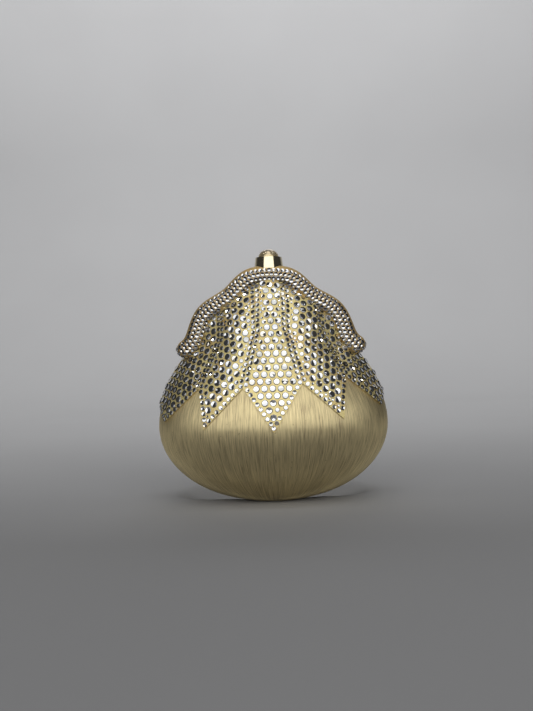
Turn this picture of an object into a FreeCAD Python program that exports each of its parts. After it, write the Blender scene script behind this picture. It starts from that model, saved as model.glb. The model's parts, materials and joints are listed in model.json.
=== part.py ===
"""Hard-shell evening bag: two brass half shells on a bottom hinge, closed by a push-button clasp.

Millimetres, +Z up, the front faces -Y. The origin is the middle of the base on the seam plane.
"""
import FreeCAD, Part
import Sketcher
import math
import os

Vector = FreeCAD.Vector

# Driving dimensions. Each rise is measured from the station below it.
SIZES = (
    ("base_half_length", 7.0),
    ("base_half_depth", 9.0),
    ("belly_height", 39.0),
    ("belly_half_width", 60.0),
    ("belly_half_depth", 33.0),
    ("neck_rise", 34.5),
    ("neck_half_width", 46.3),
    ("knuckle_rise", 6.0),
    ("knuckle_half_width", 44.3),
    ("flare_rise", 3.7),
    ("flare_half_width", 40.8),
    ("waist_rise", 5.8),
    ("waist_half_width", 38.4),
    ("shoulder_rise", 8.8),
    ("shoulder_half_width", 33.8),
    ("saddle_rise", 8.6),
    ("saddle_half_width", 20.9),
    ("edge_rise", 8.4),
    ("edge_half_width", 11.6),
    ("crown_rise", 2.2),
    ("crown_half_depth", 5.0),
    ("crown_fullness", 1.7),
    ("lens_share", 0.6),
    ("cap_drop", 1.2),
    ("seam_gap", 0.3),
    ("wall", 1.0),
    ("frame_half_width", 4.8),
    ("frame_half_depth", 8.5),
    ("frame_corner", 4.0),
    ("bond_gap", 0.05),
    ("petal_thickness", 1.0),
    ("petal_lean", 3.0),
    ("centre_tip_height", 37.0),
    ("inner_notch_height", 60.0),
    ("inner_notch_side", 14.8),
    ("side_tip_height", 40.7),
    ("side_tip_side", 34.9),
    ("outer_notch_height", 61.2),
    ("outer_notch_side", 37.1),
    ("far_tip_height", 45.2),
    ("far_tip_side", 55.7),
    ("far_edge_height", 56.0),
    ("centre_stem_height", 87.5),
    ("centre_stem_side", 7.7),
    ("side_stem_height", 85.7),
    ("side_stem_side", 25.8),
    ("rim_gap", 0.15),
    ("rim_thickness", 0.8),
    ("rim_depth", 6.0),
    ("tongue_depth", 1.5),
    ("tongue_gap", 0.4),
    ("lining_gap", 0.3),
    ("lining_thickness", 1.0),
    ("pin_radius", 0.8),
    ("pin_clearance", 0.03),
    ("knuckle_wall", 0.77),
    ("ground_clearance", 0.2),
    ("hinge_gap", 0.3),
    ("hinge_half_length", 16.0),
    ("hinge_web", 1.6),
    ("seat_cut", 1.5),
    ("collar_base_radius", 7.8),
    ("collar_top_radius", 6.95),
    ("collar_lip", 1.35),
    ("collar_floor", 1.2),
    ("button_clearance", 0.08),
    ("button_floor_gap", 0.2),
    ("button_skirt", 2.6),
    ("button_disc", 1.2),
    ("button_wall", 0.8),
    ("button_travel", 2.0),
    ("cabochon_height", 4.5),
    ("stem_radius", 1.5),
    ("stem_end_radius", 1.1),
    ("stem_clearance", 0.03),
    ("slot_clearance", 0.4),
    ("spring_radius", 2.9),
    ("spring_wire_radius", 0.25),
    ("spring_turns", 3.0),
    ("rivet_radius", 0.8),
    ("rivet_side", 3.6),
    ("rivet_front", 2.8),
    ("rivet_length", 3.6),
    ("striker_half_width", 5.2),
    ("striker_thickness", 1.2),
    ("striker_root", 1.7),
    ("lip_thickness", 1.0),
    ("lip_depth", 1.8),
    ("latch_gap", 0.3),
    ("tooth_thickness", 1.1),
    ("bolt_thickness", 1.2),
    ("bolt_half_width", 5.0),
    ("nut_radius", 2.4),
    ("nut_height", 1.5),
    ("stud_head_radius", 2.0),
    ("stud_head_height", 2.0),
    ("stud_shank_radius", 1.2),
    ("stud_shank_length", 2.4),
    ("stud_inset", 2.6),
    ("stud_sink", 0.6),
)

document = FreeCAD.newDocument("minaudiere")
sheet = document.addObject("Spreadsheet::Sheet", "sizes")
for row, (alias, number) in enumerate(SIZES, start=1):
    sheet.set(f"A{row}", alias)
    sheet.set(f"B{row}", str(number))
    sheet.setAlias(f"B{row}", alias)
document.recompute()


def size(alias):
    """One driving dimension, read from the sheet."""
    return float(sheet.get(alias))


# Stations of the outline, stacked from the base up.
RISES = ("belly_height", "neck_rise", "knuckle_rise", "flare_rise", "waist_rise", "shoulder_rise",
         "saddle_rise", "edge_rise", "crown_rise")
STATION = {}
height = 0.0
for rise in RISES:
    height += size(rise)
    STATION[rise.rsplit("_", 1)[0]] = height
CROWN = "(" + " + ".join("sizes." + rise for rise in RISES) + ")"

HALF_SEAM = size("seam_gap") / 2
SHELL_TOP = STATION["crown"] - size("cap_drop")
# Far enough past the part for any cut.
FAR = 4 * size("belly_half_width")


def frame_line():
    """Centre line of the frame bar in the seam plane, from the left end over the crown to the right."""
    right = [Vector(size(name + "_half_width"), 0, STATION[name])
             for name in ("edge", "saddle", "shoulder", "waist", "flare", "knuckle")]
    left = [Vector(-point.x, 0, point.z) for point in reversed(right)]
    line = Part.BSplineCurve()
    line.interpolate(left + [Vector(0, 0, STATION["crown"])] + right)
    return line


FRAME_LINE = frame_line()
LINE_SAMPLES = 600
FRAME_POINTS = sorted((point.z, point.x) for point in FRAME_LINE.toShape().discretize(LINE_SAMPLES)
                      if point.x >= 0)


def interpolate(pairs, key):
    """Value at key in a sorted list of (key, value) pairs, held level past its ends."""
    if key <= pairs[0][0]:
        return pairs[0][1]
    for (low, first), (high, second) in zip(pairs, pairs[1:]):
        if key <= high:
            return first + (second - first) * (key - low) / max(high - low, 1e-9)
    return pairs[-1][1]


def quarter_round(share):
    """Rise of a quarter ellipse from 0 to 1."""
    return math.sqrt(max(0.0, 1 - (1 - share) ** 2))


def half_width(z):
    """Half width of the pouch in the seam plane."""
    belly, neck, waist = STATION["belly"], STATION["neck"], STATION["waist"]
    if z <= belly:
        base = size("base_half_length")
        return base + (size("belly_half_width") - base) * quarter_round(z / belly)
    if z <= neck:
        narrow = size("neck_half_width")
        return narrow + (size("belly_half_width") - narrow) * (1 - ((z - belly) / (neck - belly)) ** 2)
    if z <= waist:
        narrow = size("waist_half_width")
        return narrow + (size("neck_half_width") - narrow) * (1 - (z - neck) / (waist - neck)) ** 2
    return interpolate(FRAME_POINTS, z)


def half_depth(z):
    """Half depth of the pouch on its middle line."""
    belly = STATION["belly"]
    if z <= belly:
        base = size("base_half_depth")
        return base + (size("belly_half_depth") - base) * quarter_round(z / belly)
    share = (z - belly) / (STATION["crown"] - belly)
    crown = size("crown_half_depth")
    return crown + (size("belly_half_depth") - crown) * (1 - share ** size("crown_fullness"))


def lens(z):
    """How far the level section is a pointed lens: 0 is an ellipse."""
    share = (z - STATION["belly"]) / (STATION["waist"] - STATION["belly"])
    share = min(1.0, max(0.0, share))
    return size("lens_share") * share * share * (3 - 2 * share)


def offset_profile(profile, distance):
    """Profile moved out by a distance along its normals, as sorted (height, value) pairs."""
    count = 400
    step = SHELL_TOP / count
    pairs = [(-distance, profile(0.0))]
    for index in range(1, count + 1):
        z = index * step
        slope = (profile(z + step / 4) - profile(z - step / 4)) / (step / 2)
        norm = math.hypot(1.0, slope)
        pairs.append((z - distance * slope / norm, profile(z) + distance / norm))
    return sorted(pairs)


def half_pouch(distance, face_y, top):
    """Front half of the pouch, moved out by a distance, from its floor to top, closed at y = face_y."""
    widths = offset_profile(half_width, distance)
    depths = offset_profile(half_depth, distance)
    low, belly = -distance, STATION["belly"]
    lower, upper, arc = 9, 11, 12
    heights = [low + (belly - low) * (1 - math.cos(math.pi / 2 * k / lower)) for k in range(lower)]
    heights += [belly + (top - belly) * k / upper for k in range(upper + 1)]
    wires = []
    for z in heights:
        share = lens(z)
        minor = interpolate(depths, z) / (1 - share)
        major = interpolate(widths, z) / math.sqrt(1 - share * share)
        centre = share * minor
        start = math.asin(max(-1.0, min(1.0, (centre - face_y) / minor)))
        angles = [start + (math.pi - 2 * start) * k / arc for k in range(arc + 1)]
        points = [Vector(-major * math.cos(a), centre - minor * math.sin(a), z) for a in angles]
        points[0].y = points[-1].y = face_y
        curve = Part.BSplineCurve()
        curve.interpolate(points)
        wires.append(Part.Wire([curve.toShape(), Part.makeLine(points[-1], points[0])]))
    return Part.makeLoft(wires, True, False)


def block(x0, x1, y0, y1, z0, z1):
    """Plain box between two corners."""
    return Part.makeBox(x1 - x0, y1 - y0, z1 - z0, Vector(x0, y0, z0))


def mirrored(shape):
    """The same shape on the other side of the seam plane."""
    return shape.mirror(Vector(0, 0, 0), Vector(0, 1, 0))


PARTS = []


def add_shape(label, shape):
    """Sub-part whose form is worked out above from the sheet."""
    node = document.addObject("Part::Feature", label)
    node.Label = label
    node.Shape = shape.removeSplitter()
    node.Placement = FreeCAD.Placement()
    PARTS.append(node)
    return node


def bind(item, expressions):
    """Bind properties of a document object to cells of the sheet."""
    for name, expression in expressions.items():
        item.setExpression(name, expression)
    return item


def box_item(name, x, y, z):
    """Box between pairs of expressions along X, Y and Z."""
    item = document.addObject("Part::Box", name)
    for side, corner, (low, high) in zip(("Length", "Width", "Height"), "xyz", (x, y, z)):
        bind(item, {side: f"({high}) - ({low})", f"Placement.Base.{corner}": low})
    return item


def cylinder_item(name, radius, low, high):
    """Upright cylinder on the Z axis between two heights."""
    item = document.addObject("Part::Cylinder", name)
    return bind(item, {"Radius": radius, "Height": f"({high}) - ({low})", "Placement.Base.z": low})


def fuse_item(name, items):
    """Union of document objects."""
    item = document.addObject("Part::MultiFuse", name)
    item.Shapes = items
    item.Refine = True
    return item


def cut_item(name, base, tool):
    """First document object less the second."""
    item = document.addObject("Part::Cut", name)
    item.Base, item.Tool = base, tool
    item.Refine = True
    return item


def add_item(label, item):
    """Make a document object the sub-part of that name."""
    item.Label = label
    PARTS.append(item)
    return item


def plane_of(body, role):
    """Origin plane of a body by its role."""
    return next(item for item in body.Origin.OriginFeatures if item.Role == role)


def value(expression):
    """Number that an expression of the sheet gives."""
    return float(sheet.evalExpression(expression))


def turned_body(label, points, base):
    """Body turned about Z. Points are (radius, height) expressions, heights measured from base."""
    body = document.addObject("PartDesign::Body", label)
    sketch = body.newObject("Sketcher::SketchObject", label + "_profile")
    sketch.AttachmentSupport = [(plane_of(body, "XZ_Plane"), "")]
    sketch.MapMode = "FlatFace"
    corners = [Vector(value(x), value(z), 0) for x, z in points]
    count = len(corners)
    for index in range(count):
        sketch.addGeometry(Part.LineSegment(corners[index], corners[(index + 1) % count]), False)
    for index in range(count):
        sketch.addConstraint(Sketcher.Constraint("Coincident", index, 2, (index + 1) % count, 1))
    for index, point in enumerate(points):
        for kind, axis, expression in (("DistanceX", -2, point[0]), ("DistanceY", -1, point[1])):
            if expression == "0":
                sketch.addConstraint(Sketcher.Constraint("PointOnObject", index, 1, axis))
                continue
            place = sketch.addConstraint(Sketcher.Constraint(kind, -1, 1, index, 1, value(expression)))
            sketch.setExpression(f"Constraints[{place}]", expression)
    turn = body.newObject("PartDesign::Revolution", label + "_turn")
    turn.Profile = sketch
    turn.ReferenceAxis = (sketch, ["V_Axis"])
    turn.Angle = 360
    body.Tip = turn
    body.setExpression("Placement.Base.z", base)
    return body


# Heights and radii shared by several pieces, as expressions of the sheet.
KNUCKLE_RADIUS = "(sizes.pin_radius + sizes.pin_clearance + sizes.knuckle_wall)"
HINGE_Z = f"({KNUCKLE_RADIUS} + sizes.ground_clearance)"
CHANNEL = f"({KNUCKLE_RADIUS} + sizes.hinge_gap)"
SEAT = f"({CROWN} + sizes.frame_half_width - sizes.seat_cut)"
FLOOR = f"({SEAT} + sizes.collar_floor)"
SKIRT = f"({FLOOR} + sizes.button_floor_gap + sizes.button_travel)"
COLLAR_TOP = f"({SKIRT} + sizes.button_skirt)"
DISC = f"({COLLAR_TOP} - sizes.button_disc)"
BORE = "(sizes.collar_top_radius - sizes.collar_lip)"
BUTTON_RADIUS = f"({BORE} - sizes.button_clearance)"
CAP = f"({CROWN} - sizes.cap_drop - sizes.wall)"
STRIKER_TOP = f"({CAP} - sizes.latch_gap)"
STRIKER_LOW = f"({STRIKER_TOP} - sizes.striker_thickness)"
LIP_LOW = f"({STRIKER_LOW} - sizes.lip_depth)"
BOLT_TOP = f"({LIP_LOW} - sizes.latch_gap)"
BOLT_LOW = f"({BOLT_TOP} - sizes.bolt_thickness)"
NUT_LOW = f"({BOLT_LOW} - sizes.nut_height)"
LINING_TOP = f"({NUT_LOW} - sizes.button_travel - sizes.lining_gap)"
SLOT = "(sizes.stem_radius + sizes.slot_clearance)"

# Half shells. The hinge lies in a channel along the bottom seam with a wall of its own.
wall = size("wall")
channel = value(CHANNEL)
roof = value(HINGE_Z) + channel
channel_end = half_width(value(HINGE_Z)) + size("hinge_gap")
stem_hole = Part.makeCylinder(value(SLOT), FAR, Vector(0, 0, value(NUT_LOW)))

outer = half_pouch(0.0, -HALF_SEAM, SHELL_TOP)
cavity = half_pouch(-wall, 0.0, SHELL_TOP - wall)
trough = block(-channel_end - wall, channel_end + wall, -channel - wall, FAR, -FAR, roof + wall)
groove = block(-channel_end, channel_end, -channel, FAR, -FAR, roof)
half_shell = outer.cut(cavity.cut(trough)).cut(groove).cut(stem_hole)
add_shape("front_shell", half_shell)
add_shape("back_shell", mirrored(half_shell))


# Frame bars: one rounded section along the centre line, with round ends, saddled on the shells.
def rounded_section(half_wide, half_deep, corner, origin, across):
    """Rounded rectangle about origin, half_wide along across and half_deep along Y."""
    def at(wide, deep):
        return origin + across * wide + Vector(0, deep, 0)

    edges = []
    turn = corner * (1 - math.sqrt(0.5))
    flat_wide, flat_deep = half_wide - corner, half_deep - corner
    for sign_wide, sign_deep in ((1, 1), (-1, 1), (-1, -1), (1, -1)):
        beside = at(sign_wide * half_wide, sign_deep * flat_deep)
        middle = at(sign_wide * (half_wide - turn), sign_deep * (half_deep - turn))
        ahead = at(sign_wide * flat_wide, sign_deep * half_deep)
        ends = (beside, middle, ahead) if sign_wide == sign_deep else (ahead, middle, beside)
        edges.append(Part.Arc(*ends).toShape())
    links = []
    for edge, following in zip(edges, edges[1:] + edges[:1]):
        links.append(Part.makeLine(edge.Vertexes[-1].Point, following.Vertexes[0].Point))
    return Part.Wire([edge for pair in zip(edges, links) for edge in pair])


def frame_bar():
    """Whole frame bar, before it is parted at the seam."""
    wide, deep, corner = size("frame_half_width"), size("frame_half_depth"), size("frame_corner")
    first = FRAME_LINE.FirstParameter
    start, along = FRAME_LINE.value(first), FRAME_LINE.tangent(first)[0]
    across = along.cross(Vector(0, 1, 0))
    section = rounded_section(wide, deep, corner, start, across)
    bar = Part.Wire(FRAME_LINE.toShape()).makePipeShell([section], True, False)
    for side in (-1, 1):
        place = Vector(side * size("knuckle_half_width"), -deep, STATION["knuckle"])
        end = Part.makeCylinder(wide, 2 * deep, place, Vector(0, 1, 0))
        rims = [edge for edge in end.Edges if edge.isClosed() and len(edge.Vertexes) == 1]
        bar = bar.fuse(end.makeFillet(corner, rims))
    return bar


bar = frame_bar()
saddle = half_pouch(size("bond_gap"), 0.0, SHELL_TOP + size("bond_gap"))
front_bar = bar.common(block(-FAR, FAR, -FAR, -HALF_SEAM, -FAR, FAR)).cut(saddle).cut(stem_hole)
seat_radius = size("collar_base_radius") + size("hinge_gap")
rivet_hole = size("rivet_radius") + size("stem_clearance")
front_seat = Part.makeCylinder(seat_radius, FAR, Vector(0, 0, value(SEAT)))
front_frame = front_bar.cut(front_seat)
for side in (-1, 1):
    place = Vector(side * size("rivet_side"), -size("rivet_front"), value(FLOOR) - size("rivet_length"))
    front_frame = front_frame.cut(Part.makeCylinder(rivet_hole, FAR, place))
back_seat = Part.makeCylinder(seat_radius, FAR, Vector(0, 0, value(SEAT) - size("latch_gap")))
back_frame = mirrored(front_bar).cut(back_seat)
stud_face = size("knuckle_half_width") + size("frame_half_width") - size("stud_sink")
for side in (-1, 1):
    across = Vector(side, 0, 0)
    face = Vector(side * stud_face, size("stud_inset"), STATION["knuckle"])
    head = Part.makeCylinder(size("stud_head_radius") + size("bond_gap"), FAR, face, across)
    shank_radius = size("stud_shank_radius") + size("stem_clearance")
    shank = Part.makeCylinder(shank_radius, FAR, face - across * size("stud_shank_length"), across)
    back_frame = back_frame.cut(head).cut(shank)
add_shape("front_frame", front_frame)
add_shape("back_frame", back_frame)

# Pave petals: plates on the shells, cut to a zigzag outline that leans a little.
lean = math.tan(math.radians(size("petal_lean")))


def petal_outline(points):
    """Upright prism over an outline of (side, height) points in the front view."""
    corners = [Vector(x, -FAR, z + x * lean) for x, z in points]
    return Part.Face(Part.makePolygon(corners + corners[:1])).extrude(Vector(0, FAR, 0))


skin = half_pouch(size("bond_gap") + size("petal_thickness"), -HALF_SEAM, SHELL_TOP)
skin = skin.cut(half_pouch(size("bond_gap"), 0.0, SHELL_TOP)).cut(bar)
notch = (size("inner_notch_side"), size("inner_notch_height"))
outer_notch = (size("outer_notch_side"), size("outer_notch_height"))
centre_stem, side_stem = size("centre_stem_side"), size("side_stem_side")
centre_edge = [notch, (centre_stem, size("centre_stem_height")), (centre_stem, FAR)]
side_edge = [outer_notch, (side_stem, size("side_stem_height")), (side_stem, FAR)]
mirror_edge = [(-x, z) for x, z in reversed(centre_edge)]
centre = [(0.0, size("centre_tip_height"))] + centre_edge + mirror_edge
side_petal = [(size("side_tip_side"), size("side_tip_height"))] + side_edge + centre_edge[::-1]
far_edge = size("far_edge_height")
far_petal = [(size("far_tip_side"), size("far_tip_height")), (size("belly_half_width"), far_edge),
             (FAR, far_edge), (FAR, FAR)] + side_edge[::-1]
outlines = {"centre": centre}
for name, side in (("left", -1), ("right", 1)):
    outlines[name] = [(side * x, z) for x, z in side_petal]
    outlines["far_" + name] = [(side * x, z) for x, z in far_petal]
for name, outline in outlines.items():
    plate = skin.common(petal_outline(outline))
    add_shape(f"front_{name}_petal", plate)
    add_shape(f"back_{name}_petal", mirrored(plate))

# Rim strips just inside the opening; the back ones reach over the seam as a tongue.
lining_top = value(LINING_TOP)
rim_out = wall + size("rim_gap")
rim_in = rim_out + size("rim_thickness")
rim_low = roof + wall + size("lining_gap")
cavity_top = SHELL_TOP - wall
rim_core = half_pouch(-rim_in, 0.0, cavity_top)
rim_ring = half_pouch(-rim_out, 0.0, cavity_top).cut(rim_core)
tongue_ring = half_pouch(-wall - size("tongue_gap"), 0.0, cavity_top).cut(rim_core)
rim_start = size("tongue_depth") + size("tongue_gap")
rim_end = rim_start + size("rim_depth")
front_rim = rim_ring.common(block(-FAR, FAR, -rim_end, -rim_start, rim_low, lining_top))
back_rim = mirrored(rim_ring.common(block(-FAR, FAR, -rim_end, 0, rim_low, lining_top)))
tongue = tongue_ring.common(block(-FAR, FAR, -size("tongue_depth"), 0, rim_low, lining_top))
add_shape("front_rim_strips", front_rim)
add_shape("back_rim_strips", back_rim.fuse(tongue))

# Lining trays, cut clear of the hinge trough.
lining_out = rim_in + size("lining_gap")
lining_in = lining_out + size("lining_thickness")
clear = size("lining_gap")
below_top = block(-FAR, FAR, -FAR, 0, -FAR, lining_top)
lining = half_pouch(-lining_out, -HALF_SEAM - clear, cavity_top).common(below_top)
below_lid = block(-FAR, FAR, -FAR, 0, -FAR, lining_top - size("lining_thickness"))
lining = lining.cut(half_pouch(-lining_in, 0.0, cavity_top).common(below_lid))
trough_end = channel_end + wall + clear
lining = lining.cut(block(-trough_end, trough_end, -channel - wall - clear, FAR, -FAR, roof + wall + clear))
add_shape("front_lining", lining)
add_shape("back_lining", mirrored(lining))


# Hinge: knuckles of the two halves take turns along the pin.
def along_x(name, radius, low, high):
    """Cylinder on the hinge axis between two places along X."""
    item = document.addObject("Part::Cylinder", name)
    item.Placement.Rotation = FreeCAD.Rotation(Vector(0, 1, 0), 90)
    return bind(item, {"Radius": radius, "Height": f"({high}) - ({low})", "Placement.Base.x": low,
                       "Placement.Base.z": HINGE_Z})


KNUCKLES = 5
for label, first, side in (("front_hinge_knuckles", 0, -1), ("back_hinge_knuckles", 1, 1)):
    knuckles = []
    for index in range(first, KNUCKLES, 2):
        name = f"knuckle_{index}"
        pitch = f"sizes.hinge_half_length * 2 / {KNUCKLES}"
        low = f"({pitch} * {index} - sizes.hinge_half_length + sizes.hinge_gap / 2)"
        high = f"({pitch} * {index + 1} - sizes.hinge_half_length - sizes.hinge_gap / 2)"
        near, far = f"({side} * sizes.pin_radius)", f"({side} * {CHANNEL})"
        web = box_item(name + "_web", (low, high), (far, near) if side < 0 else (near, far),
                       (f"{HINGE_Z} - sizes.hinge_web / 2", f"{HINGE_Z} + sizes.hinge_web / 2"))
        barrel = fuse_item(name + "_barrel", [along_x(name + "_tube", KNUCKLE_RADIUS, low, high), web])
        bore = along_x(name + "_bore", "sizes.pin_radius + sizes.pin_clearance", low, high)
        knuckles.append(cut_item(name, barrel, bore))
    group = document.addObject("Part::Compound", label)
    group.Links = knuckles
    add_item(label, group)
add_item("hinge_pin", along_x("hinge_pin", "sizes.pin_radius", "-sizes.hinge_half_length",
                              "sizes.hinge_half_length"))

# Clasp: collar riveted to the front frame, button sliding in it on a stem.
BASE_HEIGHT = f"{COLLAR_TOP} - {SEAT}"
collar = turned_body("collar_blank", [
    ("sizes.stem_radius + sizes.stem_clearance", "0"), ("sizes.collar_base_radius", "0"),
    ("sizes.collar_top_radius", BASE_HEIGHT), (BORE, BASE_HEIGHT), (BORE, "sizes.collar_floor"),
    ("sizes.stem_radius + sizes.stem_clearance", "sizes.collar_floor")], SEAT)
holes, rivets = [], []
for side in (-1, 1):
    for kind, radius, found in (("hole", "sizes.rivet_radius + sizes.stem_clearance", holes),
                                ("rivet", "sizes.rivet_radius", rivets)):
        peg = cylinder_item(f"{kind}_{'left' if side < 0 else 'right'}", radius,
                            f"{FLOOR} - sizes.rivet_length", FLOOR)
        bind(peg, {"Placement.Base.x": f"{side} * sizes.rivet_side",
                   "Placement.Base.y": "-sizes.rivet_front"})
        found.append(peg)
add_item("clasp_collar", cut_item("clasp_collar", collar, fuse_item("rivet_holes", holes)))
rivet_group = document.addObject("Part::Compound", "clasp_rivets")
rivet_group.Links = rivets
add_item("clasp_rivets", rivet_group)

add_item("push_button", turned_body("push_button", [
    ("0", "sizes.button_skirt - sizes.button_disc"),
    (f"{BUTTON_RADIUS} - sizes.button_wall", "sizes.button_skirt - sizes.button_disc"),
    (f"{BUTTON_RADIUS} - sizes.button_wall", "0"), (BUTTON_RADIUS, "0"),
    (BUTTON_RADIUS, "sizes.button_skirt"), ("0", "sizes.button_skirt")], SKIRT))
dome = document.addObject("Part::Ellipsoid", "cabochon")
dome.Angle1 = 0
bind(dome, {"Radius1": "sizes.cabochon_height", "Radius2": f"{BUTTON_RADIUS} - sizes.button_clearance",
            "Radius3": f"{BUTTON_RADIUS} - sizes.button_clearance", "Placement.Base.z": COLLAR_TOP})
add_item("cabochon", dome)
add_item("button_stem", turned_body("button_stem", [
    ("0", "0"), ("sizes.stem_end_radius", "0"), ("sizes.stem_end_radius", f"{BOLT_TOP} - {NUT_LOW}"),
    ("sizes.stem_radius", f"{BOLT_TOP} - {NUT_LOW}"), ("sizes.stem_radius", f"{DISC} - {NUT_LOW}"),
    ("0", f"{DISC} - {NUT_LOW}")], NUT_LOW))

coil = document.addObject("Part::Helix", "spring_line")
COIL_HEIGHT = f"({DISC} - {FLOOR} - 2 * sizes.spring_wire_radius)"
bind(coil, {"Radius": "sizes.spring_radius", "Height": COIL_HEIGHT,
            "Pitch": f"{COIL_HEIGHT} / sizes.spring_turns",
            "Placement.Base.z": f"{FLOOR} + sizes.spring_wire_radius"})
wire = document.addObject("Part::Circle", "spring_wire")
wire.Placement.Rotation = FreeCAD.Rotation(Vector(1, 0, 0), 90)
bind(wire, {"Radius": "sizes.spring_wire_radius", "Placement.Base.x": "sizes.spring_radius",
            "Placement.Base.z": f"{FLOOR} + sizes.spring_wire_radius"})
document.recompute()
spring = document.addObject("Part::Sweep", "return_spring")
spring.Sections = [wire]
spring.Spine = (coil, [f"Edge{index + 1}" for index in range(len(coil.Shape.Edges))])
spring.Solid = True
spring.Frenet = True
add_item("return_spring", spring)

# Latch: a bolt on the stem holds the lips of a fork on the back half until the button is pressed.
TOOTH_TOP = f"{STRIKER_LOW} - sizes.latch_gap"
bolt_plate = box_item("bolt_plate", ("-sizes.bolt_half_width", "sizes.bolt_half_width"),
                      ("-sizes.nut_radius", "sizes.nut_radius"), (BOLT_LOW, BOLT_TOP))
teeth = [box_item(f"tooth_{name}", sides, ("-sizes.tooth_thickness", "0"), (BOLT_LOW, TOOTH_TOP))
         for name, sides in (("left", ("-sizes.bolt_half_width", "-sizes.nut_radius")),
                             ("right", ("sizes.nut_radius", "sizes.bolt_half_width")))]
bolt_hole = cylinder_item("bolt_hole", "sizes.stem_end_radius + sizes.stem_clearance", BOLT_LOW, BOLT_TOP)
add_item("latch_bolt", cut_item("latch_bolt", fuse_item("bolt_blank", [bolt_plate] + teeth), bolt_hole))
nut_blank = cylinder_item("nut_blank", "sizes.nut_radius", NUT_LOW, BOLT_LOW)
nut_hole = cylinder_item("nut_hole", "sizes.stem_end_radius + sizes.stem_clearance", NUT_LOW, BOLT_LOW)
add_item("stem_nut", cut_item("stem_nut", nut_blank, nut_hole))

LIP_BACK = "(-sizes.tooth_thickness - sizes.latch_gap)"
LIP_FRONT = f"({LIP_BACK} - sizes.lip_thickness)"
ROOT = f"({SLOT} + sizes.striker_root)"
WIDE = ("-sizes.striker_half_width", "sizes.striker_half_width")
plate = box_item("striker_plate", WIDE, (LIP_FRONT, ROOT), (STRIKER_LOW, STRIKER_TOP))
lips = box_item("striker_lips", WIDE, (LIP_FRONT, LIP_BACK), (LIP_LOW, STRIKER_LOW))
boss = box_item("striker_boss", WIDE, (SLOT, ROOT), (STRIKER_TOP, CAP))
slot = box_item("striker_slot", (f"-{SLOT}", SLOT), (f"{LIP_FRONT} - sizes.lip_thickness", SLOT),
                (LIP_LOW, STRIKER_TOP))
add_item("striker_fork", cut_item("striker_fork", fuse_item("striker_blank", [plate, lips, boss]), slot))

# Bare studs on the ends of the back frame.
STUD_FACE = "(sizes.knuckle_half_width + sizes.frame_half_width - sizes.stud_sink)"
KNUCKLE_Z = "(" + " + ".join("sizes." + rise for rise in RISES[:3]) + ")"
for label, side in (("left_frame_stud", -1), ("right_frame_stud", 1)):
    sideways = FreeCAD.Rotation(Vector(0, 1, 0), 90 * side)
    head = document.addObject("Part::Ellipsoid", label + "_head")
    head.Angle1 = 0
    head.Placement.Rotation = sideways
    bind(head, {"Radius1": "sizes.stud_head_height", "Radius2": "sizes.stud_head_radius",
                "Radius3": "sizes.stud_head_radius", "Placement.Base.x": f"{side} * {STUD_FACE}",
                "Placement.Base.y": "sizes.stud_inset", "Placement.Base.z": KNUCKLE_Z})
    shank = document.addObject("Part::Cylinder", label + "_shank")
    shank.Placement.Rotation = sideways
    bind(shank, {"Radius": "sizes.stud_shank_radius", "Height": "sizes.stud_shank_length",
                 "Placement.Base.x": f"{side} * ({STUD_FACE} - sizes.stud_shank_length)",
                 "Placement.Base.y": "sizes.stud_inset", "Placement.Base.z": KNUCKLE_Z})
    add_item(label, fuse_item(label, [head, shank]))

document.recompute()
for item in document.Objects:
    if "Invalid" in item.State or "Error" in item.State:
        raise RuntimeError(f"{item.Name} did not compute: {item.State}")
os.makedirs("parts", exist_ok=True)
for node in PARTS:
    if node.Shape.isNull() or not node.Shape.isValid() or not node.Shape.Solids:
        raise RuntimeError(f"{node.Label} has no valid solid")
    node.Shape.exportStep(f"parts/{node.Label}.step")
    print(f"{node.Label}: {len(node.Shape.Solids)} solid, {node.Shape.Volume:.1f} mm3")
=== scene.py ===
"""Looks of a crystal-set evening bag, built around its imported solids.

Lengths on the bag are millimetres until a mesh is made, then metres. The front faces -Y.
"""
import functools
import json
import math
import random

import bmesh
import bpy
import numpy as np
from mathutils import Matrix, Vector
from mathutils.bvhtree import BVHTree
from mathutils.kdtree import KDTree


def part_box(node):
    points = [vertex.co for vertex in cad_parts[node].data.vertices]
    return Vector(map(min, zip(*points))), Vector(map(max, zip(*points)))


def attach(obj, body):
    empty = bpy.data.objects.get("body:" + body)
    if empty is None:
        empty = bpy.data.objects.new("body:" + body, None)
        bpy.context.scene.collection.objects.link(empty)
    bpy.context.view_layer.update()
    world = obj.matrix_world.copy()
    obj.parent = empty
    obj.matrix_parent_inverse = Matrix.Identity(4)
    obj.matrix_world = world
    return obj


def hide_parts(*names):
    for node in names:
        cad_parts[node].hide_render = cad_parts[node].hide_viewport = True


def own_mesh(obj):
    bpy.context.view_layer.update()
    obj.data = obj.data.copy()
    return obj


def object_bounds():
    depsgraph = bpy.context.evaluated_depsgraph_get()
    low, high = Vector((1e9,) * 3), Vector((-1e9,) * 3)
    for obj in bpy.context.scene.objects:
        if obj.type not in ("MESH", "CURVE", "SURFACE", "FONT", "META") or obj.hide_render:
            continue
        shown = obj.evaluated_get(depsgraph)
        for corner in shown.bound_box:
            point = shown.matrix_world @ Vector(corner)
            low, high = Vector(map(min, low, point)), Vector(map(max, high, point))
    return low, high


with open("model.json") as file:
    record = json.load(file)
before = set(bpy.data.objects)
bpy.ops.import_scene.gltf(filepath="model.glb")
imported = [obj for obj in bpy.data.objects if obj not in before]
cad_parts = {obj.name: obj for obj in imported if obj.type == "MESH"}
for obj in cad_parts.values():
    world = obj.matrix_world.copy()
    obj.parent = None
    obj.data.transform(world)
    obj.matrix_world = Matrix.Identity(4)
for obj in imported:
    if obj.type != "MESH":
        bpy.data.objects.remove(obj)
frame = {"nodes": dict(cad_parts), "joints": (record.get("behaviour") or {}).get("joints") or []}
SOLID_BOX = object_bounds()

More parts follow.
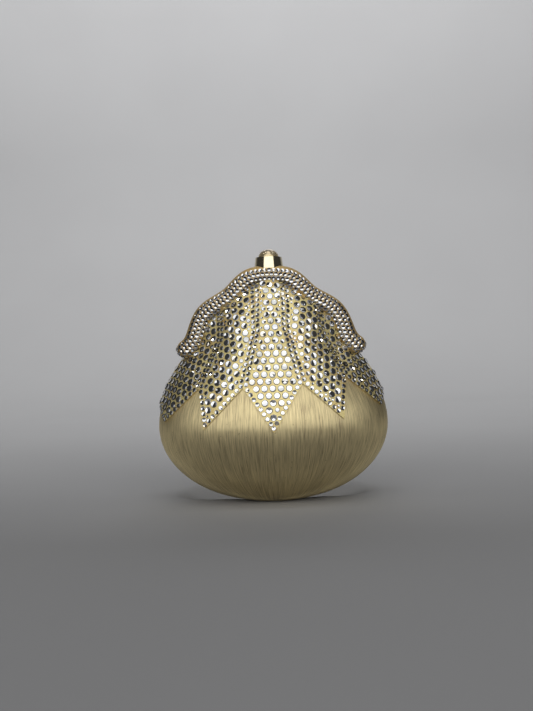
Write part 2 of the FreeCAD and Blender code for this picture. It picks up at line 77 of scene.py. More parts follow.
bl_info = {
    "name": "Crystal evening bag",
    "version": (1, 0, 0),
    "blender": (4, 5, 0),
    "location": "View3D > Sidebar > Evening bag",
    "description": "Stones, finishes, linings and studio of a hard evening bag",
    "category": "Object",
}

MM = 0.001
SEED = 17
SEED_STEP = 100

# Halves of the bag, and which way each one's depth counts.
HALVES = {"front": 1.0, "back": -1.0}

# Browns of the shells and of the stone beds, and the radius in metres that the brushing goes round at.
BRUSH_BROWN = (0.36, 0.28, 0.17)
BRUSH_STAIN = (0.20, 0.14, 0.09)
BED_BROWN = (0.60, 0.34, 0.08)
BRUSH_RADIUS = 0.055

# Petal outlines in the front view, (side, height) before they lean, as the plates are cut.
LEAN = math.tan(math.radians(3.0))
CENTRE_TIP = (0.0, 37.0)
INNER_NOTCH = (14.8, 60.0)
SIDE_TIP = (34.9, 40.7)
OUTER_NOTCH = (37.1, 61.2)
FAR_TIP = (55.7, 45.2)
FAR_EDGE = (60.0, 56.0)
FAR_SPREAD = 10.0
CENTRE_STEM = (7.7, 87.5)
SIDE_STEM = (25.8, 85.7)
STEM_TOP = 124.0
PLATE_TOP = 1.05

# Place and reach of the stone that is missing at the tip of the right petal.
LOST_STONE = (SIDE_TIP[0], SIDE_TIP[1] + SIDE_TIP[0] * LEAN)
LOST_REACH = 3.6

# Gathers between the petals: where the dip lies outside a stem line, its two widths, its start below
# the notch and its fade upwards, then where it eases off below the frame, and by what share.
PLEAT_OFFSET = 1.8
PLEAT_NEAR = 3.2
PLEAT_FAR = 4.5
PLEAT_START = 2.0
PLEAT_FADE = 14.0
PLEAT_TOP = 94.0
PLEAT_EASE = 0.75

# Longest edge in the mesh of a petal's bed, and the rounds of halving that it may take.
BED_EDGE = 1.6
BED_ROUNDS = 6

# Close grids over the front: half their width, the eye's distance, the least that a face turns to it,
# where the petals' tops end at the seam, and (widest turn, step, lowest, highest, step) of tops and seats.
GRID_REACH = 62.0
EYE_DISTANCE = 200.0
LEAST_FACING = 0.08
TOPS_END = 0.2
TOPS_GRID = (87.0, 0.6, 34.0, STEM_TOP - 2.0, 0.55)
SEAT_GRID = (86.0, 0.42, 36.0, STEM_TOP - 6.0, 0.42)

# Centre line of the frame bar on the right, (side, height) from the crown down to the round end.
BAR_LINE = ((0.0, 117.0), (11.6, 114.8), (20.9, 106.4), (33.8, 97.8), (38.4, 89.0), (40.8, 83.2),
            (44.3, 79.5))
BAR_HALF_WIDTH = 4.8
BAR_HALF_DEPTH = 8.5
BAR_CORNER = 4.0

# Rows on the bar: their number, the first one's place outwards from the middle, its dip under the clasp, how
# far to the sides that is full and then fades, and where the plain lip begins.
BAR_ROWS = 6
BAR_FIRST_ROW = 2.95
BAR_DIP = 0.9
BAR_DIP_SIDE = 6.0
BAR_DIP_FADE = 12.0
BAR_LIP = 4.5

# Seats that fill the bar: half their width, lowest and highest place, and their step.
FILL_BOX = (52.0, 72.0, 123.0)
FILL_STEP = 0.3

# Lean of the frame stones to the sides, where it is full, and how far behind a seat the bar still hides it.
BAR_LEAN = 0.16
BAR_LEAN_SIDE = 12.0
BAR_COVER = 0.1

# Scatter of the stones' directions.
PETAL_SCATTER = 0.09
FRAME_SCATTER = 0.03

# Cabochon: points around it and rings down it.
CABOCHON_SIDES = 36
CABOCHON_RINGS = 10

# Hollow in the studio floor, in metres: half its width, its deepest place, its reach from there towards the
# seam and away from it, its depth and the softness of its rim.
HOLLOW_WIDTH = 0.052
HOLLOW_MIDDLE = 0.027
HOLLOW_NEAR = 0.0276
HOLLOW_FAR = 0.0405
HOLLOW_DEPTH = 0.016
HOLLOW_RIM = 1.3

# Rows and columns of the floor over the hollow, each first, last and step.
HOLLOW_ROWS = (-0.01, 0.115, 0.0025)
HOLLOW_COLUMNS = (-0.063, 0.064, 0.003)

# Studio in metres: the floor's front end and half width, the wall's place and top, and the round between.
FLOOR_FRONT = -4.0
FLOOR_HALF = 3.0
WALL_PLACE = 1.3
WALL_TOP = 1.4
SWEEP_RADIUS = 0.5
SWEEP_STEPS = 16

# Lamps: watts per square metre at brightness 1, then each one's place, the point it faces and its size.
PANEL_POWER = 4.0
PANELS = {
    "front": ((0.0, -1.0, 0.31), (0.0, 0.0, 0.31), (2.3, 0.62)),
    "upper": ((0.0, -1.0, 1.1), (0.0, 0.0, 1.1), (1.8, 0.96)),
    "top": ((0.0, -0.55, 1.75), (0.0, 0.0, 0.10), (1.0, 0.9)),
    "wall": ((0.0, 0.0, 1.35), (0.0, 1.3, 1.25), (2.2, 0.5)),
    "back": ((0.0, 0.95, 1.1), (0.0, 0.0, 0.10), (0.9, 0.4)),
}

# Room and camera: the room's colour, the camera's side and height, and its sensor in millimetres.
ROOM_COLOUR = (0.95, 0.97, 1.0, 1.0)
CAMERA_SIDE = -0.0026
CAMERA_HEIGHT = 0.0749
SENSOR_WIDTH = 36.0

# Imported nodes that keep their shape, by finish.
DRESSED = {
    "brushed_brass": ("front_shell", "back_shell"),
    "frame_brass": ("front_frame", "back_frame"),
    "polished_brass": ("front_rim_strips", "back_rim_strips", "front_hinge_knuckles", "back_hinge_knuckles",
                       "clasp_collar", "push_button", "left_frame_stud", "right_frame_stud"),
    "steel": ("hinge_pin", "clasp_rivets", "button_stem", "latch_bolt", "stem_nut", "striker_fork"),
}


def size_setting(name, description, default, most=100.0):
    """Setting of a length on the bag in millimetres."""
    return bpy.props.FloatProperty(name=name, description=f"{description}, in millimetres", default=default,
                                   min=0.0, max=most)


def level_setting(name, description, default):
    """Setting of a brightness."""
    return bpy.props.FloatProperty(name=name, description=f"Brightness of {description}", default=default,
                                   min=0.0)


def angle_setting(name, description, degrees):
    """Setting of an angle."""
    return bpy.props.FloatProperty(name=name, description=description, default=math.radians(degrees),
                                   subtype="ANGLE")


def colour_setting(name, description, default):
    """Setting of a colour."""
    return bpy.props.FloatVectorProperty(name=name, description=description, default=default, size=3,
                                         subtype="COLOR", min=0.0, max=1.0)


class StoneSettings(bpy.types.PropertyGroup):
    """Sizes of the set stones."""

    large: size_setting("Large stone", "Diameter of the large stones", 3.5)
    small: size_setting("Small stone", "Diameter of the border stones", 2.4)
    tiny: size_setting("Tiny stone", "Diameter of the filler stones", 1.35)
    bar: size_setting("Frame stone", "Diameter of the stones on the frame", 2.28)
    pitch: size_setting("Pitch", "Distance between large stones of a row", 4.05)
    row_pitch: size_setting("Row pitch", "Distance between rows of large stones", 3.58)
    border_pitch: size_setting("Border pitch", "Distance between stones of a border", 2.85)
    bar_pitch: size_setting("Frame pitch", "Distance between stones along the frame", 2.31)
    bar_row_pitch: size_setting("Frame row pitch", "Distance between rows of the frame", 2.06)
    tilt: angle_setting("Foil tilt", "Lean of the foiled facets that shows in the glass", 8.5)
    bar_tilt: angle_setting("Frame foil tilt", "The same lean in the frame's stones", 17.0)
    pleat: size_setting("Pleat depth", "Depth of the gathers between petals", 0.85, 0.95)


class FinishSettings(bpy.types.PropertyGroup):
    """Colours of the metals, glass and leather."""

    brushed: colour_setting("Brushed brass", "Colour of the shells", (0.70, 0.59, 0.335))
    bed: colour_setting("Stone bed", "Gold that shows between the stones", (0.96, 0.79, 0.38))
    # Frame gold: partly the lip's own browner gold, partly painted shade between the frame's stones.
    lip: colour_setting("Frame gold", "Colour of the frame bar and its lip", (0.60, 0.44, 0.20))
    polished: colour_setting("Polished brass", "Colour of the clasp and trim", (0.86, 0.77, 0.54))
    leather: colour_setting("Lining", "Colour of the lining leather", (0.50, 0.36, 0.17))


class StudioSettings(bpy.types.PropertyGroup):
    """Backdrop, lamps and camera."""

    wall: colour_setting("Backdrop", "Colour of the floor and the wall", (0.32, 0.32, 0.325))
    front_level: level_setting("Front panel", "the low front panel", 1.2)
    upper_level: level_setting("Upper panel", "the panel on the front one", 0.85)
    top_level: level_setting("Top panel", "the panel above", 1.0)
    wall_level: level_setting("Wall panel", "the panel that lights the wall", 9.5)
    back_level: level_setting("Back panel", "the high panel behind", 1.0)
    surround: level_setting("Surround", "the room", 0.04)
    distance: bpy.props.FloatProperty(name="Camera distance", description="From the seam plane", default=0.45,
                                      min=0.1, unit="LENGTH")
    lens: bpy.props.FloatProperty(name="Lens", description="Focal length", default=43.3, min=10.0,
                                  unit="CAMERA")
    roll: angle_setting("Camera roll", "Turn about the line of sight", 1.7)


class Field:
    """A socket in an expression on values: arithmetic adds Math nodes."""

    def __init__(self, finish, socket):
        self.finish = finish
        self.socket = socket

    def _math(self, operation, first, second):
        return self.finish.add("ShaderNodeMath", {"operation": operation}, {0: first, 1: second})

    def __add__(self, other):
        return self._math("ADD", self, other)

    __radd__ = __add__

    def __sub__(self, other):
        return self._math("SUBTRACT", self, other)

    def __rsub__(self, other):
        return self._math("SUBTRACT", other, self)

    def __mul__(self, other):
        return self._math("MULTIPLY", self, other)

    __rmul__ = __mul__


class Finish:
    """One material and its nodes."""

    def __init__(self, name):
        self.material = bpy.data.materials.new(name)
        self.material.use_nodes = True
        self.tree = self.material.node_tree
        self.tree.nodes.clear()
        output = self.tree.nodes.new("ShaderNodeOutputMaterial")
        self.shader = self.tree.nodes.new("ShaderNodeBsdfPrincipled")
        self.tree.links.new(self.shader.outputs["BSDF"], output.inputs["Surface"])

    def add(self, kind, settings=None, values=None, output=0):
        """New node of a kind, its settings first, then the values or links of its sockets."""
        node = self.tree.nodes.new(kind)
        for name, setting in (settings or {}).items():
            if name == "stops":
                self._stops(node.color_ramp, setting)
            else:
                setattr(node, name, setting)
        for name, value in (values or {}).items():
            self._feed(node.inputs[name], value)
        return Field(self, node.outputs[output])

    def surface(self, **values):
        """Set or link sockets of the surface shader, underscores for spaces."""
        for name, value in values.items():
            self._feed(self.shader.inputs[name.replace("_", " ")], value)
        return self.material

    def _feed(self, socket, value):
        if isinstance(value, Field):
            self.tree.links.new(value.socket, socket)
        elif socket.type == "RGBA" and len(value) == 3:
            socket.default_value = (*value, 1.0)
        else:
            socket.default_value = value

    @staticmethod
    def _stops(ramp, stops):
        while len(ramp.elements) < len(stops):
            ramp.elements.new(1.0)
        for element, (position, colour) in zip(ramp.elements, stops):
            element.position = position
            element.color = (*colour, 1.0)

    def vector(self, operation, first, second=(0.0, 0.0, 0.0)):
        """Arithmetic on vectors."""
        return self.add("ShaderNodeVectorMath", {"operation": operation}, {0: first, 1: second})

    def place(self, scale=(1.0, 1.0, 1.0)):
        """Place on the bag in metres, stretched by a scale."""
        return self.vector("MULTIPLY", self.add("ShaderNodeTexCoord", output="Object"), scale)

    def around(self, wide, high):
        """Place on the shell as the direction around it and the height, each stretched."""
        half = SOLID_BOX[1]
        turn = self.vector("NORMALIZE", self.place((1 / half[0], 1 / half[1], 0.0)))
        spread = self.vector("MULTIPLY", turn, (BRUSH_RADIUS * wide, BRUSH_RADIUS * wide, 0.0))
        return self.vector("ADD", spread, self.place((0.0, 0.0, high)))

    def noise(self, scale, detail=2.0, rough=0.5, place=None):
        """Cloudy value about 0.5. Scale is in cells per metre of the place."""
        values = {"Vector": place or self.place(), "Scale": scale, "Detail": detail, "Roughness": rough}
        return self.add("ShaderNodeTexNoise", None, values)

    def cells(self, scale, feature, scatter, place=None):
        """Distance from the middles of scattered cells."""
        values = {"Vector": place or self.place(), "Scale": scale, "Randomness": scatter}
        return self.add("ShaderNodeTexVoronoi", {"feature": feature}, values, output="Distance")

    def ramp(self, value, *stops):
        """Colour that follows a value through stops of (position, colour)."""
        return self.add("ShaderNodeValToRGB", {"stops": stops}, {"Fac": value})

    def between(self, value, low, high):
        """Value brought from low..high to 0..1 and held there."""
        return self.add("ShaderNodeMapRange", None, {"Value": value, "From Min": low, "From Max": high})

    def mix(self, share, first, second):
        """Colour between two colours."""
        return self.add("ShaderNodeMix", {"data_type": "RGBA"}, {0: share, 6: first, 7: second}, output=2)

    def bump(self, height, depth, strength=1.0):
        """Normal of a relief, its depth in metres."""
        return self.add("ShaderNodeBump", None, {"Height": height, "Distance": depth, "Strength": strength})


def shade(colour, factor):
    """A colour made darker or lighter."""
    return tuple(min(1.0, part * factor) for part in colour)


@functools.cache
def finish_of(name):
    """The material of a finish, made once."""
    return FINISH_MAKERS[name]()


def picked(name):
    """A colour of the settings."""
    return tuple(getattr(bpy.context.scene.bag_finish, name))


def brushed_brass():
    """Shell metal brushed up and down, champagne with brown streaks."""
    colour = picked("brushed")
    finish = Finish("brushed_brass")
    hair = finish.noise(1.0, 3.0, 0.6, finish.around(4200.0, 140.0))
    streak = finish.noise(1.0, 2.0, 0.5, finish.around(1700.0, 95.0))
    cloud = finish.noise(45.0, 3.0, 0.55)
    speck = finish.between(finish.noise(900.0, 1.0), 0.74, 0.8)
    tone = finish.between(hair * 0.5 + streak * 0.38 + cloud * 0.12, 0.37, 0.61)
    base = finish.ramp(tone, (0.0, BRUSH_BROWN), (0.45, shade(colour, 0.92)), (1.0, shade(colour, 1.2)))
    stained = finish.mix(speck * 0.5, base, BRUSH_STAIN)
    rough = 0.36 + hair * 0.12 + cloud * 0.06
    relief = finish.bump(hair * 0.7 + streak * 0.3, 0.00002, 0.8)
    return finish.surface(Base_Color=stained, Metallic=1.0, Roughness=rough, Anisotropic=0.78, Normal=relief)


def stone_bed(name, colour, grain):
    """Warm gold under the stones, grainy, browner in its hollows."""
    finish = Finish(name)
    grit = finish.noise(grain, 3.0, 0.6)
    cloud = finish.noise(120.0, 2.0, 0.5)
    tone = finish.between(grit * 0.6 + cloud * 0.4, 0.35, 0.62)
    base = finish.ramp(tone, (0.0, BED_BROWN), (0.35, shade(colour, 0.88)), (1.0, shade(colour, 1.12)))
    rough = 0.45 + grit * 0.2
    relief = finish.bump(grit, 0.00006, 0.6)
    return finish.surface(Base_Color=base, Metallic=0.8, Roughness=rough, Normal=relief)


def petal_bed():
    """Bed of the petals."""
    return stone_bed("petal_bed", picked("bed"), 2600.0)


def frame_brass():
    """Bed and plain lip of the frame, in the frame gold: darker than the petals' bed, partly as the lip's own
    browner gold, partly as painted shade between the frame's stones.
    """
    return stone_bed("frame_brass", picked("lip"), 1800.0)


def polished_brass():
    """Clasp and trim, polished, with fine wear scratches."""
    colour = picked("polished")
    finish = Finish("polished_brass")
    scratch = finish.noise(1.0, 2.0, 0.5, finish.place((500.0, 500.0, 6000.0)))
    cloud = finish.noise(260.0, 3.0, 0.5)
    tone = finish.between(cloud, 0.3, 0.7)
    base = finish.ramp(tone, (0.0, shade(colour, 0.86)), (1.0, shade(colour, 1.05)))
    rough = 0.05 + scratch * 0.05 + finish.between(cloud, 0.55, 0.75) * 0.05
    relief = finish.bump(scratch, 0.000004, 0.5)
    return finish.surface(Base_Color=base, Metallic=1.0, Roughness=rough, Normal=relief)


def crystal():
    """Foiled crystal: clear and bright, a little cooler or warmer from stone to stone. Its darkest tones are
    painted shade on the upper facets of level stones and, in part, on the rims.
    """
    finish = Finish("crystal")
    tone = finish.add("ShaderNodeAttribute", {"attribute_name": "tone"}, output="Fac")
    # The lowest stops are painted shade: the upper facets of level stones, and in part the stones' rims.
    base = finish.ramp(tone, (0.0, (0.045, 0.045, 0.05)), (0.12, (0.30, 0.30, 0.31)),
                       (0.25, (0.58, 0.58, 0.55)), (0.45, (0.76, 0.78, 0.82)),
                       (0.8, (0.86, 0.86, 0.86)), (1.0, (0.90, 0.84, 0.72)))
    haze = finish.noise(700.0, 1.0)
    return finish.surface(Base_Color=base, Metallic=1.0, Roughness=0.02 + haze * 0.05, Coat_Weight=0.3)


def cabochon_glass():
    """Champagne glass over gold foil, with a painted glow: bright towards its foot, darker towards the top.
    """
    finish = Finish("cabochon_glass")
    low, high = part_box("cabochon")
    height = finish.add("ShaderNodeSeparateXYZ", None, {0: finish.place()}, output="Z")
    rise = finish.between(height, low.z, high.z)
    cloud = finish.noise(420.0, 2.0, 0.5)
    facet = finish.cells(330.0, "F1", 0.8, finish.place((1.0, 1.0, 0.4)))
    # Painted glow: bright at the foot, darker towards the top.
    base = finish.ramp(rise + facet * 0.5 + cloud * 0.16 - 0.25, (0.0, (0.84, 0.68, 0.38)),
                       (0.4, (0.74, 0.61, 0.37)), (0.75, (0.50, 0.41, 0.27)), (1.0, (0.36, 0.31, 0.24)))
    relief = finish.bump(facet, 0.0004, 0.5)
    rough = 0.2 + cloud * 0.15
    return finish.surface(Base_Color=base, Metallic=0.8, Roughness=rough, Normal=relief, Coat_Weight=0.6,
                          Coat_Roughness=0.05)


def steel():
    """Turned steel of the hidden clasp parts."""
    finish = Finish("steel")
    turn = finish.noise(1.0, 2.0, 0.5, finish.place((900.0, 900.0, 9000.0)))
    base = finish.ramp(turn, (0.2, (0.42, 0.42, 0.43)), (0.8, (0.62, 0.62, 0.63)))
    return finish.surface(Base_Color=base, Metallic=1.0, Roughness=0.22 + turn * 0.16,
                          Normal=finish.bump(turn, 0.000006, 0.6))


def lining_leather():
    """Gold kid leather: fine pebble grain, creases, worn paler on its high spots."""
    colour = picked("leather")
    finish = Finish("lining_leather")
    pebble = finish.cells(1500.0, "SMOOTH_F1", 1.0)
    crease = finish.noise(240.0, 4.0, 0.6)
    cloud = finish.noise(60.0, 2.0, 0.5)
    tone = finish.between(crease * 0.5 + cloud * 0.5, 0.35, 0.65)
    base = finish.ramp(tone, (0.0, shade(colour, 0.72)), (0.5, colour), (1.0, shade(colour, 1.25)))
    grain = finish.mix(finish.between(pebble, 0.35, 0.75) * 0.5, base, shade(colour, 0.55))
    relief = finish.bump(crease * 0.5 - pebble * 0.7, 0.00012, 0.7)
    return finish.surface(Base_Color=grain, Metallic=0.25, Roughness=0.42 + crease * 0.2, Normal=relief,
                          Sheen_Weight=0.15)


def lining_thread():
    """Waxed thread of the lining."""
    colour = picked("leather")
    finish = Finish("lining_thread")
    twist = finish.noise(2600.0, 2.0, 0.5)
    base = finish.ramp(twist, (0.2, shade(colour, 1.1)), (0.8, shade(colour, 1.6)))
    relief = finish.bump(twist, 0.00005, 0.8)
    return finish.surface(Base_Color=base, Roughness=0.6 + twist * 0.2, Normal=relief)


FINISH_MAKERS = {maker.__name__: maker for maker in (
    brushed_brass, petal_bed, frame_brass, polished_brass, crystal, cabochon_glass, steel, lining_leather,
    lining_thread)}


def smooth(share):
    """Soft step from 0 to 1."""
    share = np.clip(share, 0.0, 1.0)
    return share * share * (3.0 - 2.0 * share)


def pleat_drop(x, z):
    """How far the petals dip at a place of the front view, in the gathers that run up beside each stem."""
    level = z - x * LEAN
    drop = 0.0
    for notch, stem in ((INNER_NOTCH, CENTRE_STEM), (OUTER_NOTCH, SIDE_STEM)):
        away = abs(x) - np.interp(level, (notch[1], stem[1]), (notch[0], stem[0])) - PLEAT_OFFSET
        width = PLEAT_NEAR if away < 0.0 else PLEAT_FAR
        drop += np.exp(-(away / width) ** 2) * smooth((level - notch[1] + PLEAT_START) / PLEAT_FADE)
    ease = 1.0 - PLEAT_EASE * smooth((level - PLEAT_TOP) / PLEAT_FADE)
    return float(min(drop, 1.0) * ease * bpy.context.scene.bag_stones.pleat)


def triples(items, name, kind):
    """Values of a kind, three for each item of a mesh, as rows."""
    values = np.empty(len(items) * 3, kind)
    items.foreach_get(name, values)
    return values.reshape(-1, 3)


class Skin:
    """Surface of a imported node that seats, each a point and its normal, are looked up on."""

    def __init__(self, node):
        mesh = frame["nodes"][node].data
        mesh.calc_loop_triangles()
        points = triples(mesh.vertices, "co", np.float32) / MM
        triangles = triples(mesh.loop_triangles, "vertices", np.int32)
        self.tree = BVHTree.FromPolygons(points.tolist(), triangles.tolist())

    def scan(self, widest, turn_step, low, high, step):
        """Row, column and seat of each place in a grid over the front, which is closer towards the sides."""
        for row, z in enumerate(np.arange(low, high, step)):
            for column, turn in enumerate(np.radians(np.arange(-widest, widest + turn_step / 10, turn_step))):
                seat = self.front(GRID_REACH * math.sin(turn), float(z))
                if seat:
                    yield row, column, seat

    def lift(self, rise):
        """Swap the surface for a close grid over the front, raised to the tops of the gathered petals."""
        numbers, points, quads = {}, [], []
        for row, column, (point, normal) in self.scan(*TOPS_GRID):
            if point.y < -TOPS_END:
                numbers[row, column] = len(points)
                points.append(point + normal * (rise - pleat_drop(point.x, point.z)))
        for row, column in numbers:
            corners = ((row, column), (row, column + 1), (row + 1, column + 1), (row + 1, column))
            if all(corner in numbers for corner in corners):
                quads.append([numbers[corner] for corner in corners])
        self.tree = BVHTree.FromPolygons(points, quads)

    def front(self, x, z):
        """Seat (point, normal) first met by a line of sight along +Y, or None."""
        point, normal, _, _ = self.tree.ray_cast(Vector((x, -EYE_DISTANCE, z)), Vector((0.0, 1.0, 0.0)))
        return None if point is None else (point, normal)

    def meet(self, start, way):
        """Distance along a line to the surface."""
        distance = self.tree.ray_cast(start, way)[3]
        return math.inf if distance is None else distance

    def nearest(self, point):
        """Nearest seat."""
        return self.tree.find_nearest(point)[:2]


@functools.cache
def petal_skin():
    """Tops of the gathered petals on the front, made once."""
    skin = Skin("front_shell")
    skin.lift(PLATE_TOP)
    return skin


# Stones that the petals' step has set, which the frame's step stays clear of.
SET_STONES = {}


class StoneSet:
    """Stones that are set so far: places, normals, radii and owners."""

    def __init__(self):
        self.points = []
        self.normals = []
        self.radii = []
        self.owners = []

    def room(self, point):
        """Free distance from a point to the nearest stone's edge."""
        if not self.points:
            return math.inf
        steps = np.asarray(self.points) - np.asarray(point)
        return float((np.sqrt((steps * steps).sum(1)) - np.asarray(self.radii)).min())

    def put(self, seat, radius, owner):
        """Set one stone."""
        self.points.append(tuple(seat[0]))
        self.normals.append(tuple(seat[1]))
        self.radii.append(radius)
        self.owners.append(owner)


def leaned(points):
    """Outline points with the lean of the petals."""
    return [(x, z + x * LEAN) for x, z in points]


def flipped(points):
    """Outline points on the other side."""
    return [(-x, z) for x, z in points]


def petal_outlines():
    """Edge runs of each petal from its tip up, in the front view, as (name, right run, left run)."""
    def stem(place):
        return [place, (place[0], STEM_TOP)]

    inner = [INNER_NOTCH] + stem(CENTRE_STEM)
    outer = [OUTER_NOTCH] + stem(SIDE_STEM)
    wide = [FAR_EDGE, (FAR_EDGE[0] + FAR_SPREAD, STEM_TOP)]
    found = [("centre", leaned([CENTRE_TIP] + inner), leaned(flipped([CENTRE_TIP] + inner)))]
    for name, tip, away, near in (("right", SIDE_TIP, outer, inner), ("far_right", FAR_TIP, wide, outer)):
        found.append((name, leaned([tip] + away), leaned([tip] + near)))
        left = name.replace("right", "left")
        found.append((left, leaned(flipped([tip] + near)), leaned(flipped([tip] + away))))
    return found


def inside(polygon, x, z):
    """Which points lie in a polygon of the front view."""
    found = np.zeros(np.shape(x), bool)
    for (x0, z0), (x1, z1) in zip(polygon, polygon[1:] + polygon[:1]):
        if z0 == z1:
            continue
        crosses = (z0 > z) != (z1 > z)
        found ^= crosses & (x < x0 + (z - z0) * (x1 - x0) / (z1 - z0))
    return found


def line_distance(runs, x, z):
    """Distance in the front view from points to the nearest edge run."""
    best = np.full(np.shape(x), math.inf)
    for run in runs:
        for (x0, z0), (x1, z1) in zip(run, run[1:]):
            length = (x1 - x0) ** 2 + (z1 - z0) ** 2
            share = np.clip(((x - x0) * (x1 - x0) + (z - z0) * (z1 - z0)) / length, 0.0, 1.0)
            best = np.minimum(best, np.hypot(x - x0 - share * (x1 - x0), z - z0 - share * (z1 - z0)))
    return best


def foreshortening(normal, across_x, across_z):
    """Length in the front view of one unit along the surface."""
    rise = (normal.x * across_x + normal.z * across_z) / min(normal.y, -LEAST_FACING)
    return 1.0 / math.sqrt(1.0 + rise * rise)


def fill_room(stones, spots, ups, limit, radii, name):
    """Set stones on seats in what room is left, the widest gaps first, each the largest that fits.

    The radii come with the spare room that each one asks for.
    """
    room = limit.copy()
    for point, radius in zip(stones.points, stones.radii):
        room = np.minimum(room, np.sqrt(((spots - point) ** 2).sum(1)) - radius)
    while len(room):
        index = int(room.argmax())
        fitting = [radius for radius, spare in radii if room[index] > radius + spare]
        if not fitting:
            return
        stones.put((Vector(spots[index]), Vector(ups[index])), fitting[0], name)
        room = np.minimum(room, np.sqrt(((spots - spots[index]) ** 2).sum(1)) - fitting[0])


def seat_arrays(seats):
    """Points and normals of seats as two arrays."""
    return tuple(np.array([tuple(seat[part]) for seat in seats]) for part in (0, 1))


class PetalSetter:
    """Sets the stones of the front petals."""

    # Search step, gap from border to edge, and spare room beside a stone of a row and a petal's first one.
    STEP = 0.12
    INSET = 0.08
    SPARE = 0.02
    FIRST_SPARE = 0.03

    # Probes beside an edge, the share of the inset that is kept from other edges, and the gap to the seam.
    MIDDLE_PROBE = 0.3
    EDGE_PROBE = 0.05
    EDGE_SHARE = 0.93
    SEAM_GAP = 0.6

    # First large stone above the tip, most rows, and where they end below the stem's top and at the seam.
    FIRST_RISE = (3.0, 16.0)
    MOST_ROWS = 30
    TOP_GAP = 8.0
    ROW_END = 1.0

    # Height that the rows climb to, and the side and height for the far petals.
    ROW_TOP = 104.0
    FAR_TOP = (38.0, 88.0)

    # Fillers: where they end at the seam, the least that they turn to the eye, and their spare room.
    FILL_END = 1.4
    FILL_FACING = 0.35
    FILL_SPARE = 0.06
    TINY_SPARE = 0.22

    def __init__(self, sizes):
        self.large = sizes.large / 2
        self.small = sizes.small / 2
        self.tiny = sizes.tiny / 2
        self.pitch = sizes.pitch
        self.border_pitch = sizes.border_pitch
        self.row_pitch = sizes.row_pitch
        self.skin = petal_skin()
        self.points, self.normals = seat_arrays([seat for _, _, seat in self.skin.scan(*SEAT_GRID)])
        self.under_bar = self.hidden_seats()
        self.stones = StoneSet()

    def hidden_seats(self):
        """Tree of the seats that the frame bar lies in front of."""
        bar = Skin("front_frame")
        hidden = []
        for point in self.points:
            front = bar.front(float(point[0]), float(point[2]))
            if front and front[0].y < point[1] + BAR_COVER:
                hidden.append(point)
        tree = KDTree(len(hidden))
        for index, point in enumerate(hidden):
            tree.insert(point, index)
        tree.balance()
        return tree

    def bar_room(self, point):
        """Distance from a seat to the visible edge of the frame bar."""
        return self.under_bar.find(point)[2]

    def put(self, seat, radius, name):
        """Set a stone if it has room off the frame bar and on the front half, and tell whether it did."""
        clear = seat[0].y < -radius - self.SEAM_GAP and self.bar_room(seat[0]) > radius
        if clear and self.stones.room(seat[0]) > radius + self.SPARE:
            self.stones.put(seat, radius, name)
            return True
        return False

    def border(self, name, runs, polygon):
        """One row of small stones just inside each edge run, from the tip up."""
        inset = self.small + self.INSET
        for run in runs:
            last = None
            for (x0, z0), (x1, z1) in zip(run, run[1:]):
                length = math.hypot(x1 - x0, z1 - z0)
                across = ((z0 - z1) / length, (x1 - x0) / length)
                beside = (across[0] * self.MIDDLE_PROBE, across[1] * self.MIDDLE_PROBE)
                if not inside(polygon, (x0 + x1) / 2 + beside[0], (z0 + z1) / 2 + beside[1]):
                    across = (-across[0], -across[1])
                for step in range(int(length / self.STEP) + 1):
                    share = step * self.STEP / length
                    x, z = x0 + (x1 - x0) * share, z0 + (z1 - z0) * share
                    seat = self.edge_seat(runs, x, z, across, inset)
                    if seat is None or (last and (seat[0] - last).length < self.border_pitch):
                        continue
                    if self.put(seat, self.small, name):
                        last = seat[0]

    def edge_seat(self, runs, x, z, across, inset):
        """Seat of a small stone beside one point of an edge, or None too near another edge."""
        edge = self.skin.front(x + across[0] * self.EDGE_PROBE, z + across[1] * self.EDGE_PROBE)
        if edge is None:
            return None
        reach = inset * foreshortening(edge[1], *across)
        spot = (x + across[0] * reach, z + across[1] * reach)
        if line_distance(runs, *spot) < reach * self.EDGE_SHARE:
            return None
        return self.skin.front(*spot)

    def first_place(self, tip, axis):
        """Place up the axis of a petal where the border leaves room for its first large stone."""
        for rise in np.arange(*self.FIRST_RISE, self.STEP):
            place = (tip[0] + axis[0] * rise, tip[1] + axis[1] * rise)
            seat = self.skin.front(*place)
            if seat and self.stones.room(seat[0]) > self.large + self.FIRST_SPARE:
                return place
        raise RuntimeError("a petal has no room for its stones")

    def rows(self, name, polygon, start, axis):
        """Staggered rows of large stones across a petal, from its tip up along an axis."""
        seat = self.skin.front(*start)
        count = 0
        while seat is not None and count < self.MOST_ROWS:
            point, normal = seat
            ahead = Vector((axis[0], 0.0, axis[1]))
            ahead = (ahead - normal * ahead.dot(normal)).normalized()
            sideways = ahead.cross(normal)
            for side in (-1, 1):
                first = self.pitch / 2 if count % 2 else (self.pitch if side > 0 else 0.0)
                self.row(name, polygon, seat, sideways * side, first)
            point, normal = self.skin.nearest(point + ahead * self.row_pitch)
            seat = (point, normal) if point.z < STEM_TOP - self.TOP_GAP else None
            count += 1

    def row(self, name, polygon, seat, sideways, first):
        """One side of a row."""
        stride = first
        while True:
            if stride:
                before = seat[0]
                seat = self.skin.nearest(before + sideways * stride)
                if (seat[0] - before).length < stride / 2:
                    return
                sideways = (sideways - seat[1] * sideways.dot(seat[1])).normalized()
            if seat[0].y > -self.ROW_END or not inside(polygon, seat[0].x, seat[0].z):
                return
            self.put(seat, self.large, name)
            stride = self.pitch

    def fill(self, name, runs, polygon):
        """Small and tiny stones in what room is left, the widest gaps first."""
        here = inside(polygon, self.points[:, 0], self.points[:, 2]) & (self.points[:, 1] < -self.FILL_END)
        spots, ups = self.points[here], self.normals[here]
        edge = line_distance(runs, spots[:, 0], spots[:, 2]) / np.clip(-ups[:, 1], self.FILL_FACING, 1.0)
        limit = np.minimum(edge, [self.bar_room(spot) for spot in spots])
        sizes = ((self.large, self.FILL_SPARE), (self.small, self.FILL_SPARE), (self.tiny, self.TINY_SPARE))
        fill_room(self.stones, spots, ups, limit, sizes, name)

